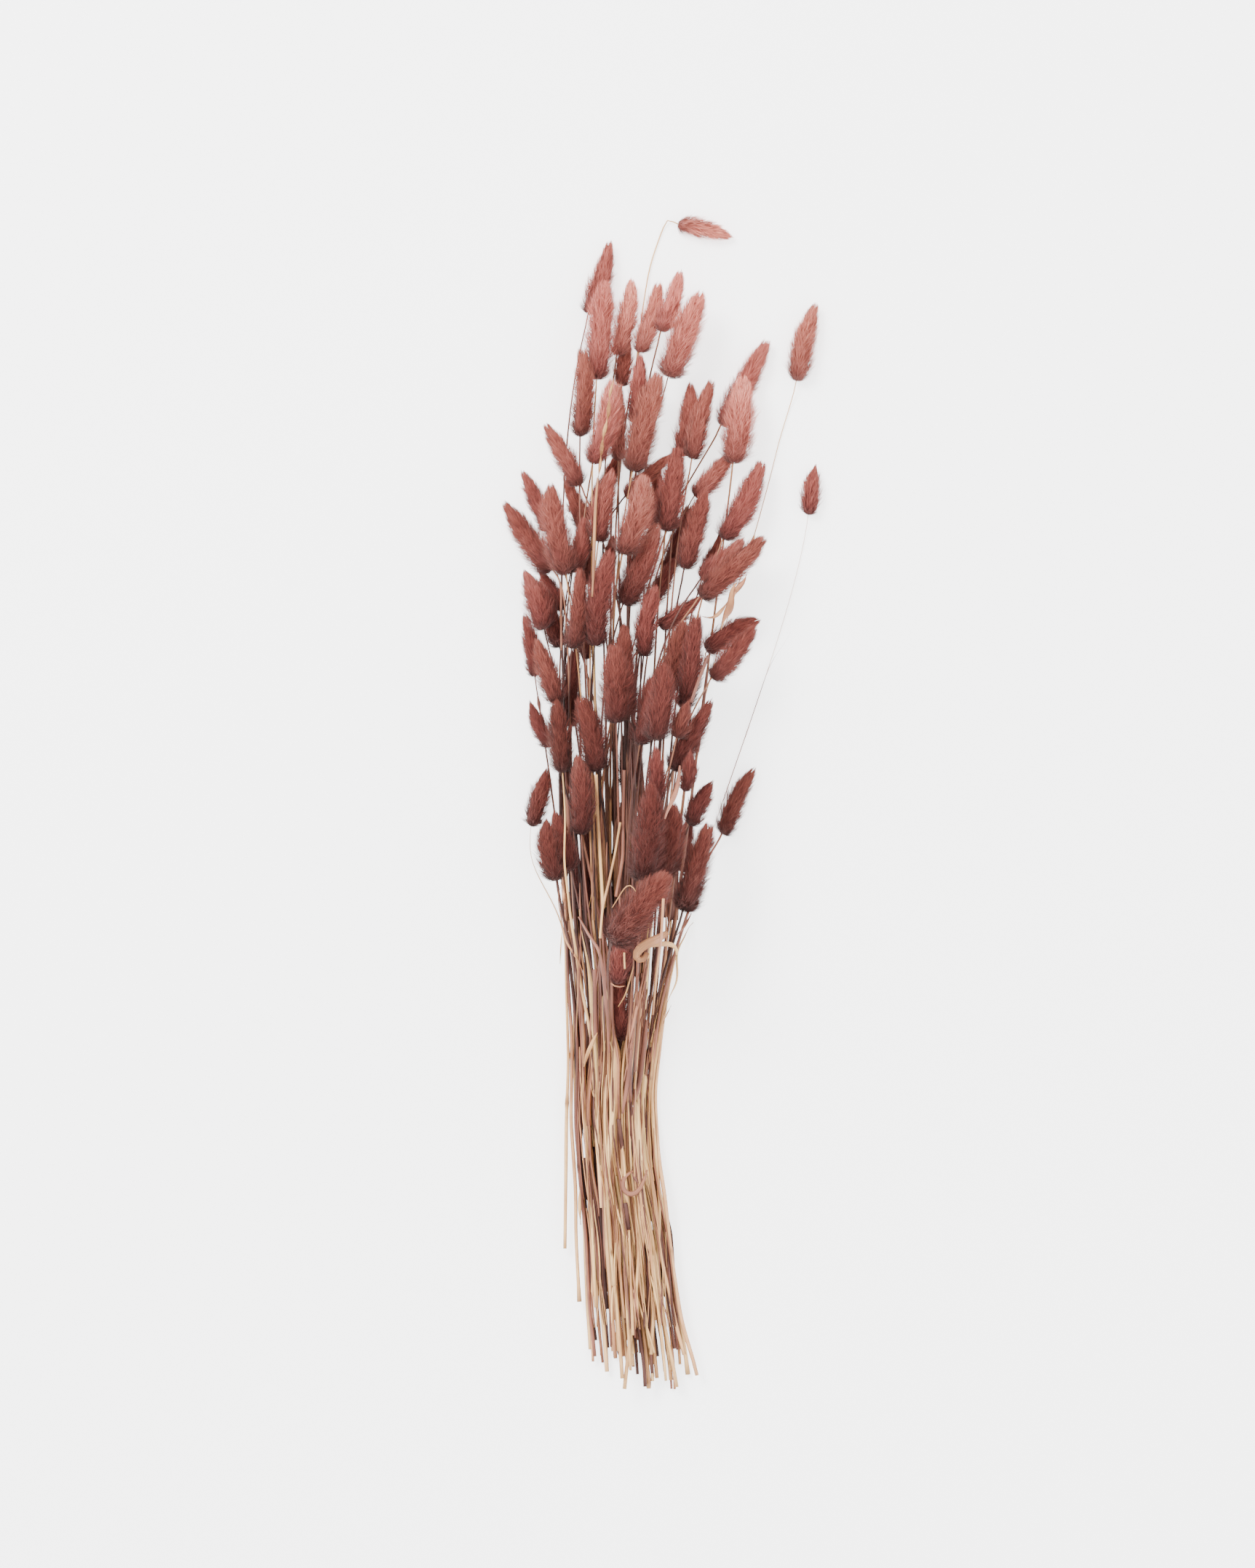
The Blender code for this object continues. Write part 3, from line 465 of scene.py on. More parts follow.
# Fur of a head. Hair lies in tufts: each hair runs from its root inside the head, at a slant of about 30
# degrees, to near the end of its tuft on the head's outline. Places are shares of the head's length, turns
# are angles round it, and levels are shares of the outline's radius.
fur = {
    "seed": 71,
    "tufts": 330,   # on a head of the usual area
    "usualArea": 0.00052,
    "areaPower": 0.85,   # by which a larger head has more of them
    "leastTufts": 50,
    "hairs": 13,   # in a tuft
    "strands": 5,   # in a tuft, of hairs that share a tip and a shade
    "length": (0.0042, 0.0078),   # of a hair along the head
    "starts": 0.90,   # place where the last hair starts
    "crowded": (0.15, 0.09),   # share of the tufts that stand close round the base, and how far up
    "atBase": (0.0, 0.16, 0.25, 0.75),   # hair is shorter at the base
    "rootSpread": (0.030, 0.30),   # of a tuft's roots, in place and turn
    "tipSpread": (0.030, 0.20),
    "hairSpread": 0.35,   # of a strand's tips, as a share of the tuft's
    "lastRoot": 0.97,
    "root": (0.30, 0.62),   # levels where hair starts and where tufts end
    "end": (0.88, 1.03),
    "proud": (0.24, 6),   # by how much tufts stand out further, and a power that makes such tufts few; their chance also pales them, part of the painted rim light
    "strandEnd": (0.76, 1.24),   # where each strand and each hair ends, as a share of its tuft's level
    "hairEnd": (0.95, 1.03),
    "halfWidth": 0.000118,
    "thick": (0.55, 1.15),
    "shades": (0.16, 0.32, 0.38),   # share of the tuft, the strand and the hair in its shade
    "rim": (0.95, 1.15, 0.0, 0.22),   # hair that ends far out is paler: painted rim light round the head
    "strays": 400,   # single longer hairs on a head of the usual length
    "usualLength": 0.04,
    "strayLength": (0.004, 0.010),
    "strayTurn": 0.30,
    "strayEnd": (1.04, 1.30),
    # stray hairs are pale: painted rim light round the head
    "strayShade": (0.75, 1.0),
    "strayThick": (0.40, 0.65),
    "shortest": 0.02,
    "pastTip": 0.45,   # what is left of the part of a hair that would stand past the head's tip
    "middle": (0.45, 0.5, 0.52),   # how much of its place, turn and level a hair has covered midway
    "roll": 0.5,
    "lowest": (0.0001, 0.0005),   # over the table
    "core": 0.60,   # level of the dark core
    "coreRings": 14,
    "coreSides": 10,
    "corePlace": (0.02, 0.93),   # where it starts and how long it is
    "coreShade": {"hair": 0.2, "chance": 0.3},
    "bend": 0.045,   # a head curves sideways by up to this share of its length
    "runOn": (4.0, 12.0),   # samples by which its axis is drawn on past the base and the tip
    "fuller": 1.15,   # hair ends are sparse, so the outline is drawn out by this
    "firstPlace": 0.004,
    "lastPlace": 1.35,   # beyond the widest, in shares of the run from there to the tip
    "widest": 0.24,   # where the outline is widest and how blunt its base is
    "blunt": 3.2,
    "taper": (1.9, 4.4),   # power by which it narrows to the tip, and by how much
    "narrower": (0.62, 0.80),
    "narrowest": 0.06,
    "toneRows": ([470, 640, 800, 980, 1180, 1290, 1400], [1.00, 0.72, 0.47, 0.34, 0.25, 0.33, 0.62]),
    "toneRight": (930, 1000, 1.0, 0.14),   # heads right of these columns are paler
    "layerShade": (0.80, 0.95, 1.05),   # deep, middle and front heads: deeper ones painted darker as shade under the others
    "toneSpread": (0.88, 1.12),
    "bloomFrom": 0.2,
    "kinds": [   # heads with pale hair ends, and dull ones: factor on the tone, and gain in shade to the tip
        ((3, 11, 12, 25, 30, 35, 43, 49, 66), 1.14, 0.22),
        ((1, 8, 15, 16, 19, 21, 23, 24, 27, 28, 54, 57, 64, 75), 0.86, -0.10),
    ],
}


def furOutline(place, width, tip):   # half the width times a rounded base, then times a taper to the tip
    low = np.clip(1.0 - np.clip(place, fur["firstPlace"], 1.0) / fur["widest"], 0.0, 1.0)
    high = np.clip((place - fur["widest"]) / (1.0 - fur["widest"]), 0.0, fur["lastPlace"])
    taper = np.maximum(1.0 - tip[1] * high ** tip[0], fur["narrowest"])
    return 0.5 * fur["fuller"] * width * np.sqrt(1.0 - low ** fur["blunt"]) * taper


def headAxis(index, rng):   # gives axis points, side and up directions at places on the head
    line = stalks[index]["line"][:stalks[index]["count"]][::-1]
    along = runLength(line)
    length = along[-1]
    side, up = crossways(line)
    bend = rng.uniform(-fur["bend"], fur["bend"]) * length
    line = line + side * (bend * 4.0 * (along / length) * (1.0 - along / length))[:, None]
    before, after = fur["runOn"]
    onward = line[-1] + (line[-1] - line[-4]) / 3.0 * after
    back = line[0] - (line[3] - line[0]) / 3.0 * before
    line = np.vstack([back, line, onward])
    places = np.concatenate([[-np.linalg.norm(back - line[1])], along,
                             [length + np.linalg.norm(onward - line[-2])]]) / length
    side, up = (np.vstack([values[0], values, values[-1]]) for values in (side, up))

    def at(place):
        return [sampled(values, places, place) for values in (line, side, up)]

    return at, length


def furHair(at, place, angle, radius, roll, half):   # four corners a hair: its root, two at its middle, its tip
    centre, side, up = at(place)
    cos, sin = np.cos(angle)[..., None], np.sin(angle)[..., None]
    outward, crosswise = cos * side + sin * up, -sin * side + cos * up
    spots = centre + radius[..., None] * (cos * side + bunch["headFlat"] * sin * up)
    edge = half[:, None] * (np.cos(roll)[:, None] * crosswise[:, 1] + np.sin(roll)[:, None] * outward[:, 1])
    return np.stack([spots[:, 0], spots[:, 1] - edge, spots[:, 1] + edge, spots[:, 2]], axis=1)


def headTone(index, rng):   # lower heads are darker, and deeper heads darker still by painted shade
    u, v, _, _, _, layer = heads[index]
    tone = np.interp(v, *fur["toneRows"]) * (stepped(u, *fur["toneRight"]) * fur["layerShade"][layer])
    return tone * rng.uniform(*fur["toneSpread"])


def addFur(skin, index):   # the tufts and the loose hairs of a head, then its dark core
    rng = np.random.default_rng(fur["seed"] + index)
    width = heads[index][4] * bunch["pixel"]
    at, length = headAxis(index, rng)
    factor, bloom = next((kind[1:] for kind in fur["kinds"] if index in kind[0]), (1.0, 0.0))
    tone, blush = headTone(index, rng) * factor, rng.random()
    shape = (rng.uniform(*fur["taper"]), rng.uniform(*fur["narrower"]))
    tufts = int(fur["tufts"] * (length * width / fur["usualArea"]) ** fur["areaPower"])
    tufts = max(fur["leastTufts"], tufts)
    share, reach = fur["crowded"]
    start = rng.random(tufts) * np.where(rng.random(tufts) < share, reach, fur["starts"])
    turn = rng.uniform(0.0, math.tau, tufts)
    reach = rng.uniform(*fur["length"], tufts) / length * stepped(start, *fur["atBase"])
    end = start + reach
    level = rng.uniform(*fur["end"], tufts)
    chance = rng.random(tufts)
    level = level + fur["proud"][0] * chance ** fur["proud"][1]

    owner = np.repeat(np.arange(tufts), fur["hairs"])
    count, strands = len(owner), tufts * fur["strands"]
    strand = owner * fur["strands"] + np.arange(count) % fur["strands"]
    aside = rng.normal(0.0, 1.0, (2, strands))[:, strand] + rng.normal(0.0, fur["hairSpread"], (2, count))
    root = np.clip(start[owner] + rng.normal(0.0, fur["rootSpread"][0], count), 0.0, fur["lastRoot"])
    tip = end[owner] + fur["tipSpread"][0] * aside[0]
    rootTurn = turn[owner] + rng.normal(0.0, fur["rootSpread"][1], count)
    tipTurn = turn[owner] + fur["tipSpread"][1] * aside[1]
    ends, shades = rng.uniform(*fur["strandEnd"], strands), rng.random(strands)
    tipLevel = level[owner] * ends[strand] * rng.uniform(*fur["hairEnd"], count)
    ofTuft, ofStrand, ofHair = fur["shades"]
    shade = ofTuft * chance[owner] + ofStrand * shades[strand] + ofHair * rng.random(count)
    # painted rim light: hair that ends past the outline is paler
    shade = shade + stepped(tipLevel, *fur["rim"])
    tufted = [root, tip, rootTurn, tipTurn, tipLevel, shade, rng.uniform(*fur["thick"], count)]

    strays = int(fur["strays"] * length / fur["usualLength"])
    root = rng.uniform(0.0, fur["starts"], strays)
    turn = rng.uniform(0.0, math.tau, strays)
    tip = root + rng.uniform(*fur["strayLength"], strays) / length
    single = [root, tip, turn, turn + rng.normal(0.0, fur["strayTurn"], strays)]
    single += [rng.uniform(*fur[name], strays) for name in ("strayEnd", "strayShade", "strayThick")]
    root, tip, rootTurn, tipTurn, tipLevel, shade, thick = np.hstack([tufted, single])

    shade = shade + bloom * smoothStep(tip, fur["bloomFrom"], 1.0)
    tip = np.maximum(tip, root + fur["shortest"])
    tip = np.where(tip > 1.0, 1.0 + fur["pastTip"] * (tip - 1.0), tip)
    inner = rng.uniform(*fur["root"], len(root)) * furOutline(root, width, shape)
    outer = tipLevel * furOutline(tip, width, shape)
    place, angle, radius = (
        np.stack([first, first + part * (last - first), last], axis=1)
        for first, last, part in zip((root, rootTurn, inner), (tip, tipTurn, outer), fur["middle"]))
    roll = rng.normal(0.0, fur["roll"], len(root))
    points = furHair(at, place, angle, radius, roll, fur["halfWidth"] * thick)
    points[..., 2] = np.maximum(points[..., 2], rng.uniform(*fur["lowest"], len(root))[:, None])
    first = np.arange(len(root))[:, None] * 4
    skin.add(points, [first + np.array([[0, 1, 2]]), first + np.array([[2, 1, 3]])],
             hair=np.tile([0.0, 0.5, 0.5, 1.0], len(root)), place=place[:, [0, 1, 1, 2]].ravel(),
             chance=np.repeat(shade, 4), tone=tone, blush=blush)

    start, long = fur["corePlace"]
    share = start + long * (0.5 - 0.5 * np.cos(np.linspace(0.0, np.pi, fur["coreRings"])))
    centre, side, up = at(np.tile(share[:, None], (1, fur["coreSides"])))
    cos, sin = ringTurns(fur["coreSides"])
    size = (fur["core"] * furOutline(share, width, shape))[:, None, None]
    core = centre + size * (cos * side + bunch["headFlat"] * sin * up)
    skin.add(core, tubeFaces(*core.shape[:2]), place=np.repeat(share, core.shape[1]), tone=tone, blush=blush,
             **fur["coreShade"])


def furMaterial():   # hair is paler to its end, by its shade, which carries the painted rim light, and on pale heads, and darker at the head's base, partly painted shade
    finish = Finish("dry fur", {"Roughness": 0.80, "Specular IOR Level": 0.2, "Sheen Weight": 0.15,
                                "Sheen Roughness": 0.5, "Sheen Tint": (1.0, 0.80, 0.74, 1.0)})
    hair, place, chance, tone, blush = map(finish.field, ("hair", "place", "chance", "tone", "blush"))
    colour = finish.evenRamp(
        finish.weighted(0.14, (hair, 0.36), (chance, 0.46)), (0.110, 0.024, 0.018), (0.205, 0.052, 0.040),
        (0.400, 0.118, 0.092), (0.700, 0.250, 0.195), (0.940, 0.500, 0.400))
    # darker towards the head's base: partly painted shade
    base = finish.ramp(place, (0.0, (0.40, 0.36, 0.38)), (0.12, (0.64, 0.60, 0.62)), (0.40, (0.90, 0.85, 0.84)),
                       (0.75, (1.0, 0.95, 0.92)), (1.0, (1.0, 0.97, 0.94)))
    deep = finish.maths("MULTIPLY", finish.maths("POWER", tone, 1.2), 0.95)   # dark heads are redder
    # tone carries the painted shade of deeper heads
    depth = finish.node("CombineColor", {0: tone, 1: deep, 2: deep}).outputs[0]
    hue = finish.evenRamp(blush, (1.0, 0.92, 0.96), (0.97, 1.0, 0.92))
    finish.fill(finish.shader, {"Base Color": finish.product(colour, base, depth, hue)})
    return finish.material


# Stems: round hollow straws that thicken down from the head, with a few joints. In the bundle every
# other layer lies over the gaps of the one under it, and the stems wander across their neighbours.
# A ripeness runs from 0, dark, to 1, cream.
straw = {
    "seed": (5, 100),   # and its step from stem to stem
    "spacing": 0.0042,   # of the rings along a stem
    "sides": 7,
    "thin": (0.00030, 0.00046),   # radius under the head
    "thick": (0.00058, 0.00108),   # radius in the bundle
    "thickRows": (1000.0, 1540.0),   # where a stem starts to thicken and where it is that thick
    "thickPower": 0.8,
    "sunk": 0.003,   # it starts this deep in the fur
    "hollow": (0.55, 0.0016),   # of the cut end: its share of the radius, and its depth
    "firstJoint": (0.09, 0.20),
    "joints": (0.085, 0.17),   # run from one joint to the next
    "lastJoint": 0.012,   # above the cut end
    "jointSwell": 0.28,
    "jointLength": 0.0016,
    "darkLength": 0.0022,
    "jointDark": (0.35, 0.9),
    "cutRipe": (0.1, 0.1),   # what the rim of the hollow gains, and the low ripeness of its floor, dark as painted shade in the hole
    "cutShade": [0.0, 0.8],   # of its rim, and of its floor, painted shade in the hole
    "wanderRows": (1340.0, 1520.0),
    "wander": 4.2,   # columns that it strays in the bundle
    "waves": [(230.0, 0.20), (430.0, 0.5), (760.0, 0.8)],   # by which it strays: rows, and weight
    "lift": 0.0009,   # by which it rises and falls in the bundle
    "halfPitch": 3.3,   # columns by which every other layer is shifted
    "slots": (0.012, 0.988),   # between which it is held in the bundle
    "heldFrom": 0.3,
    "edge": [(1240, 780), (1300, 783), (1440, 790), (1540, 790), (1640, 798), (1700, 803), (1800, 807),
             (1890, 814)],   # row and column of the bundle's left side, beyond which two stems lie apart
    "parting": (853.0, 12.0, 1335.0, 1408.0),   # column, half width and rows where stems bare a deep head
    "partingFade": 50.0,
    "joinRows": 70.0,   # over which a stem turns on to a path of its own
    "pathRunOn": 4.0,
    "pathAbove": 150,   # rows from a head to the path that its stem may take
    "layerWorth": 4.0,   # columns by which a higher layer counts as nearer to a path
    "softReach": 12,
    "ragged": (75.0, 0.618, 3),   # rows by which some are cut shorter, and the numbers that choose them
    "faint": {31: 0.55, 32: 0.34, 0: 0.75, 67: 0.36},   # stalks with a thinner stem, thin down to this row
    "faintRow": 1150.0,
    "cream": 0.86,   # how ripe those and the crossing stems are at least
    "creamRows": (260.0, 100.0),   # above the start of a crossing stem's path, from nothing to all of it
    "fade": {64: (1620.0, 1700.0, 0.0, 0.4)},   # a crossing stem that is less ripe again low down
    "kinds": [(0.54, 0.70, 1.0), (0.80, 0.46, 0.66), (1.0, 0.12, 0.38)],   # ripeness low down, by chance
    "topRipe": ([400.0, 800.0, 1100.0, 1300.0], [0.58, 0.36, 0.26, 0.25]),   # rows, and ripeness there; low among the lower heads, partly their colour and partly painted shade
    "topSpread": 0.18,
    "lowRows": (1270.0, 1550.0),
    "cutLess": (1740.0, 1880.0, 0.0, 0.10),   # ripeness that is lost to the cut end
    "spanSpread": 0.10,   # of the ripeness between joints
}

# joints that reach the table: place of the stalk's head in the table of heads, and the joint's row
feet = {31: 738.0, 37: 966.0, 44: 1840.0}

# two stems apart from the bundle at its left: stalk, then the points that it passes, the last its cut end
apart = {
    67: [(776, 1240), (777, 1340), (781, 1460), (778, 1540), (777, 1640), (776, 1721)],
    37: [(777, 1240), (780, 1340), (786, 1440), (784, 1540), (791, 1640), (791, 1700), (796, 1795)],
}

# front stems that cross the others: the stalk, or None for the one that lies nearest, and the points
crossings = [
    (64, [(773, 1140), (774, 1180), (780, 1218), (784, 1257), (790, 1295), (798, 1352), (805, 1387),
          (813, 1429), (816, 1480), (822, 1560), (829, 1650)]),
    (None, [(834, 1560), (835, 1680), (839, 1730), (846, 1780), (850, 1829)]),
    (None, [(853, 1600), (855, 1680), (858, 1730), (861, 1788), (864, 1838)]),
    (None, [(856, 1640), (861, 1713), (873, 1780), (891, 1833)]),
    (None, [(880, 1600), (879, 1710), (876, 1763), (868, 1829)]),
    (None, [(899, 1560), (907, 1650), (906, 1705), (901, 1755), (898, 1813), (895, 1864)]),
    (None, [(893, 1600), (908, 1730), (922, 1788), (932, 1838), (942, 1866)]),
    (None, [(909, 1600), (921, 1713), (929, 1771), (937, 1821), (955, 1880)]),
    (None, [(876, 1560), (884, 1640), (898, 1710), (906, 1790), (925, 1880)]),
    (None, [(872, 1530), (876, 1600), (886, 1680), (898, 1740), (908, 1830)]),
]


def bundleEdge(row):   # column of the bundle's left side
    return np.interp(row, *np.array(straw["edge"], float).T)


def chosenPaths():   # each path with a stalk: its own, or the one nearest to its start and highest in the pile
    chosen = dict(apart)
    for index, points in crossings:
        if index is None:
            u, v = points[0]
            free = [k for k in range(len(stalks)) if k not in chosen and heads[k][1] < v - straw["pathAbove"]]
            far = [abs(bundleColumn(v, stalks[k]["slot"]) - u) - straw["layerWorth"] * stalks[k]["layer"]
                   for k in free]
            index = free[np.argmin(far)]
        chosen[index] = points
    return {index: np.array(points, float) for index, points in chosen.items()}


def wandered(column, rows, layer, share, rng):   # a stem strays by three waves and stays in the bundle
    lengths, weights = np.array(straw["waves"]).T[..., None]
    waves = rng.normal(0.0, 1.0, weights.shape) * np.sin(
        math.tau * rows / lengths + rng.uniform(0.0, math.tau, weights.shape))
    stray = straw["wander"] * (waves * weights).sum(axis=0) + straw["halfPitch"] * (layer % 2 - 0.5)
    column = column + share * stray
    low, high = (bundleColumn(rows, slot) for slot in straw["slots"])
    column = np.where(share > straw["heldFrom"], np.clip(column, low, high), column)
    edge = bundleEdge(rows)
    inside = edge + (column - low) * (high - edge) / (high - low)
    return column + (inside - column) * smoothStep(rows, straw["edge"][0][0], straw["wanderRows"][0])


def parted(column, rows):   # pushed to the nearer side of the gap over a deep head
    middle, half, first, last = straw["parting"]
    way = 1.0 if np.interp(last, rows, column) > middle else -1.0
    push = np.clip(half - way * (column - middle), 0.0, None) * way
    fade = straw["partingFade"]
    return column + push * smoothStep(rows, first - fade, first) * (1.0 - smoothStep(rows, last, last + fade))


def stemLine(index, rng):   # the laid line, which strays sideways in the bundle and rides over others
    stalk = stalks[index]
    line = stalk["line"][stalk["count"] - 1:].copy()
    rows = photoRow(line[:, 1])
    share = smoothStep(rows, *straw["wanderRows"])
    column = line[:, 0] / bunch["pixel"] + bunch["middle"][0]
    column = wandered(column, rows, stalk["layer"], share, rng)
    line[:, 2] += share * rng.uniform(0.0, straw["lift"]) * (1.0 + ripple(rows / 55.0, 1.0, rng))
    column = parted(column, rows)
    if index in paths:
        path = paths[index]
        onward = path[-1] + (path[-1] - path[-2]) * straw["pathRunOn"]
        own = np.interp(rows, *np.vstack([path, onward])[:, ::-1].T)
        share = smoothStep(rows, path[0, 1] - straw["joinRows"], path[0, 1] + straw["joinRows"])
        column = column + (own - column) * share
    line[:, 0] = softened((column - bunch["middle"][0]) * bunch["pixel"], straw["softReach"])
    if index in apart:
        return line[rows <= paths[index][-1, 1]]
    if index not in paths:
        most, step, power = straw["ragged"]
        return line[rows <= rows[-1] - most * (step * index % 1.0) ** power]
    radius = bunch["stemHalf"][1]
    line[:, 2] += (draped(line[:, :2], pile.needOver(line[:, :2], radius), 0) - line[:, 2]) * share
    over = line[share > 0.5]
    pile.add({"line": over, "radius": np.full(len(over), radius), "isHead": np.zeros(len(over), bool)})
    return line


def jointPlaces(length, rng):   # places of the joints along a stem
    spots = [rng.uniform(*straw["firstJoint"])]
    while spots[-1] < length:
        spots.append(spots[-1] + rng.uniform(*straw["joints"]))
    return np.array(spots)


def stemSizes(index, row, places, near, rng):   # radius along a stem, thicker down it and near its joints
    thin, thick = rng.uniform(*straw["thin"]) * straw["faint"].get(index, 1.0), rng.uniform(*straw["thick"])
    first, full = straw["thickRows"]
    first = straw["faintRow"] if index in straw["faint"] else min(row[0], first)
    size = thin + (thick - thin) * smoothStep(row, first, full) ** straw["thickPower"]
    size = size * (1.0 + straw["jointSwell"] * bell(near / straw["jointLength"]))
    return size * (1.0 + ripple(places * 90.0, 0.05, rng))


def strawTones(index, row, places, joints, rng):   # how ripe a stem is along itself, darker among the lower heads partly by painted shade
    kind = rng.random()
    low = next(rng.uniform(*span) for below, *span in straw["kinds"] if kind < below)
    top = np.interp(row, *straw["topRipe"]) + rng.normal(0.0, straw["topSpread"])
    ripe = top + (low - top) * smoothStep(row, *straw["lowRows"]) - stepped(row, *straw["cutLess"])
    spread = straw["spanSpread"]
    spans = rng.uniform(-spread, spread, len(joints) + 1)[np.searchsorted(joints, places)]
    ripe = np.clip(ripe + spans + ripple(places * 37.0, 0.05, rng), 0.0, 1.0)
    if index in straw["faint"]:
        return np.maximum(ripe, straw["cream"])
    if index in paths and index not in apart:
        begin = paths[index][0, 1]
        first, full = straw["creamRows"]
        cream = straw["cream"] * smoothStep(row, begin - first, begin - full)
        return np.maximum(ripe, cream - stepped(row, *straw["fade"].get(index, (0.0, 1.0, 0.0, 0.0))))
    return ripe


def addStem(skin, index):   # a tube along the stem's line, turned in at the cut end
    seed, step = straw["seed"]
    rng = np.random.default_rng(seed + step * index)
    line, laid, count = stemLine(index, rng), stalks[index]["line"], stalks[index]["count"]
    line[0] -= unit(laid[count - 1] - laid[count - 4]) * straw["sunk"]
    along = runLength(line)
    places = np.linspace(0.0, along[-1], int(along[-1] / straw["spacing"]) + 2)
    joints = jointPlaces(along[-1] - straw["lastJoint"], rng)
    if index in feet:
        joints = np.sort(np.append(joints, np.interp(-feet[index], -photoRow(line[:, 1]), along)))
    places[np.abs(places[1:-1, None] - joints).argmin(axis=0) + 1] = joints
    places = np.sort(places[places <= along[-1]])
    near = np.abs(places[:, None] - joints).min(axis=1)
    spots = sampled(line, along, places)
    row = photoRow(spots[:, 1])
    size = stemSizes(index, row, places, near, rng)
    if index in feet:
        foot = np.abs(row - feet[index]).argmin()
        size[foot] = spots[foot, 2]
    spots[:, 2] = np.maximum(spots[:, 2], size)
    side, up = crossways(spots)
    cos, sin = ringTurns(straw["sides"], -math.pi / 2.0)
    tube = spots[:, None] + size[:, None, None] * (cos * side[:, None] + sin * up[:, None])
    inner, deep = straw["hollow"]
    rim = spots[-1] + inner * size[-1] * (cos * side[-1] + sin * up[-1])
    tube = np.concatenate([tube, rim, rim + deep * unit(spots[-2] - spots[-1])])
    ripe = strawTones(index, row, places, joints, rng)
    # the floor of the hollow is painted dark: painted shade in the hole
    gain, floor = straw["cutRipe"]
    ripe = np.concatenate([ripe, [ripe[-1] + gain, floor]])
    dark = bell(near / straw["darkLength"]) * rng.uniform(*straw["jointDark"])
    dark = np.concatenate([dark, straw["cutShade"]])
    rings, sides = tube.shape[:2]
    # round runs from 0 on top of the tube to 1 under it, for the painted shade on the lower sides
    skin.add(tube, tubeFaces(rings, sides), ripe=np.repeat(ripe, sides), dark=np.repeat(dark, sides),
             round=np.tile(np.abs(np.linspace(-1.0, 1.0, sides, endpoint=False)), rings),
             run=np.repeat(np.concatenate([places, places[-1:], places[-1:]]), sides), chance=rng.random())
    return line, along, size


def strawMaterial():   # rosy or yellow by its ripeness, with streaks, darker at joints, and with painted shade at the sides and in the cut end's hollow
    white = (1.0, 1.0, 1.0)
    finish = Finish("dry straw", {"Roughness": 0.60, "Specular IOR Level": 0.35})
    ripe, dark, chance, rim, run = map(finish.field, ("ripe", "dark", "chance", "round", "run"))
    places = [(rim, 9.0), (run, 55.0), (chance, 90.0)]   # long streaks, other ones on each stem
    spot = {axis: finish.maths("MULTIPLY", value, pace) for axis, (value, pace) in enumerate(places)}
    spot = finish.node("CombineXYZ", spot).outputs[0]
    noise = {"Vector": spot, "Scale": 1.0, "Detail": 4.0, "Roughness": 0.6}
    streaks = finish.node("TexNoise", noise).outputs["Fac"]
    noise = {"Vector": finish.node("TexCoord", {}).outputs["Object"], "Scale": 38.0, "Detail": 3.0}
    blotch = finish.node("TexNoise", noise).outputs["Fac"]
    level = finish.maths("ADD", ripe, finish.weighted(-0.45, (streaks, 0.62), (blotch, 0.30)), True)
    rosy = finish.evenRamp(level, (0.028, 0.009, 0.007), (0.095, 0.034, 0.025), (0.250, 0.094, 0.062),
                           (0.490, 0.200, 0.115), (0.880, 0.465, 0.230))
    yellow = finish.evenRamp(level, (0.028, 0.010, 0.006), (0.095, 0.038, 0.020), (0.260, 0.115, 0.050),
                             (0.510, 0.250, 0.098), (0.880, 0.560, 0.240))
    choice = finish.weighted(0.0, (chance, 0.4), (ripe, 0.64))
    choice = finish.ramp(choice, (0.44, (0.0, 0.0, 0.0)), (0.74, white))
    shade = finish.evenRamp(dark, white, (0.22, 0.14, 0.12))
    # painted shade: darker down a stem's lower sides, and on a strip's rims and inner side
    sides = finish.ramp(rim, (0.16, white), (0.43, (0.66, 0.58, 0.52)), (0.72, (0.24, 0.14, 0.11)))
    bump = finish.node("Bump", {"Strength": 0.35, "Distance": 0.0002, "Height": streaks})
    colour = finish.product(finish.mixed(choice, rosy, yellow), shade, sides)
    finish.fill(finish.shader, {"Base Color": colour, "Normal": bump.outputs[0]})
    return finish.material


# Dry leaves and torn sheaths are thin strips with an arched section. Widths and rows are in pixels.
strip = {
    "thick": (0.00016, 0.2),   # and at most this share of the width
    "lowest": 0.0001,
    "round": (0.8, 0.5),   # painted shade, as on a round stem's lower side: at its rims, and all over its inner side
    "dullHue": 0.5,   # most of the hue that a dark strip can have
}


def addStrip(skin, line, widths, arches, twists, ripe, hue, points=5):   # arcs of the given widths along a line
    # a point at share u across lies on an arc: sideways r sin(a u), up r (cos(a u) - cos(a / 2))
    widths, arches, twists, ripe = (np.broadcast_to(one, len(line)) for one in (widths, arches, twists, ripe))
    side, up = crossways(line)
    cos, sin = np.cos(twists)[:, None], np.sin(twists)[:, None]
    side, up = (side * cos + up * sin)[:, None], (up * cos - side * sin)[:, None]
    across = np.linspace(-0.5, 0.5, points)
    turn = across * arches[:, None]
    cos, sin, radius = np.cos(turn), np.sin(turn), (widths / arches)[:, None]
    lift = radius * (cos - np.cos(arches / 2.0)[:, None])
    outer = line[:, None] + (radius * sin)[..., None] * side + lift[..., None] * up
    most, share = strip["thick"]
    inward = (sin[..., None] * side + cos[..., None] * up) * np.minimum(most, share * widths)[:, None, None]
    section = np.concatenate([outer, (outer - inward)[:, ::-1]], axis=1)
    section[..., 2] = np.maximum(section[..., 2], strip["lowest"])
    rings, sides = section.shape[:2]
    rim, inside = strip["round"]
    # round carries the painted shade of the rims and of the inner side
    skin.add(section, [face[:, ::-1] for face in tubeFaces(rings, sides)], ripe=np.repeat(ripe, sides),
             dark=0.0, round=np.tile(np.concatenate([np.abs(across) * rim, np.full(points, inside)]), rings),
             run=np.repeat(runLength(line), sides), chance=hue)


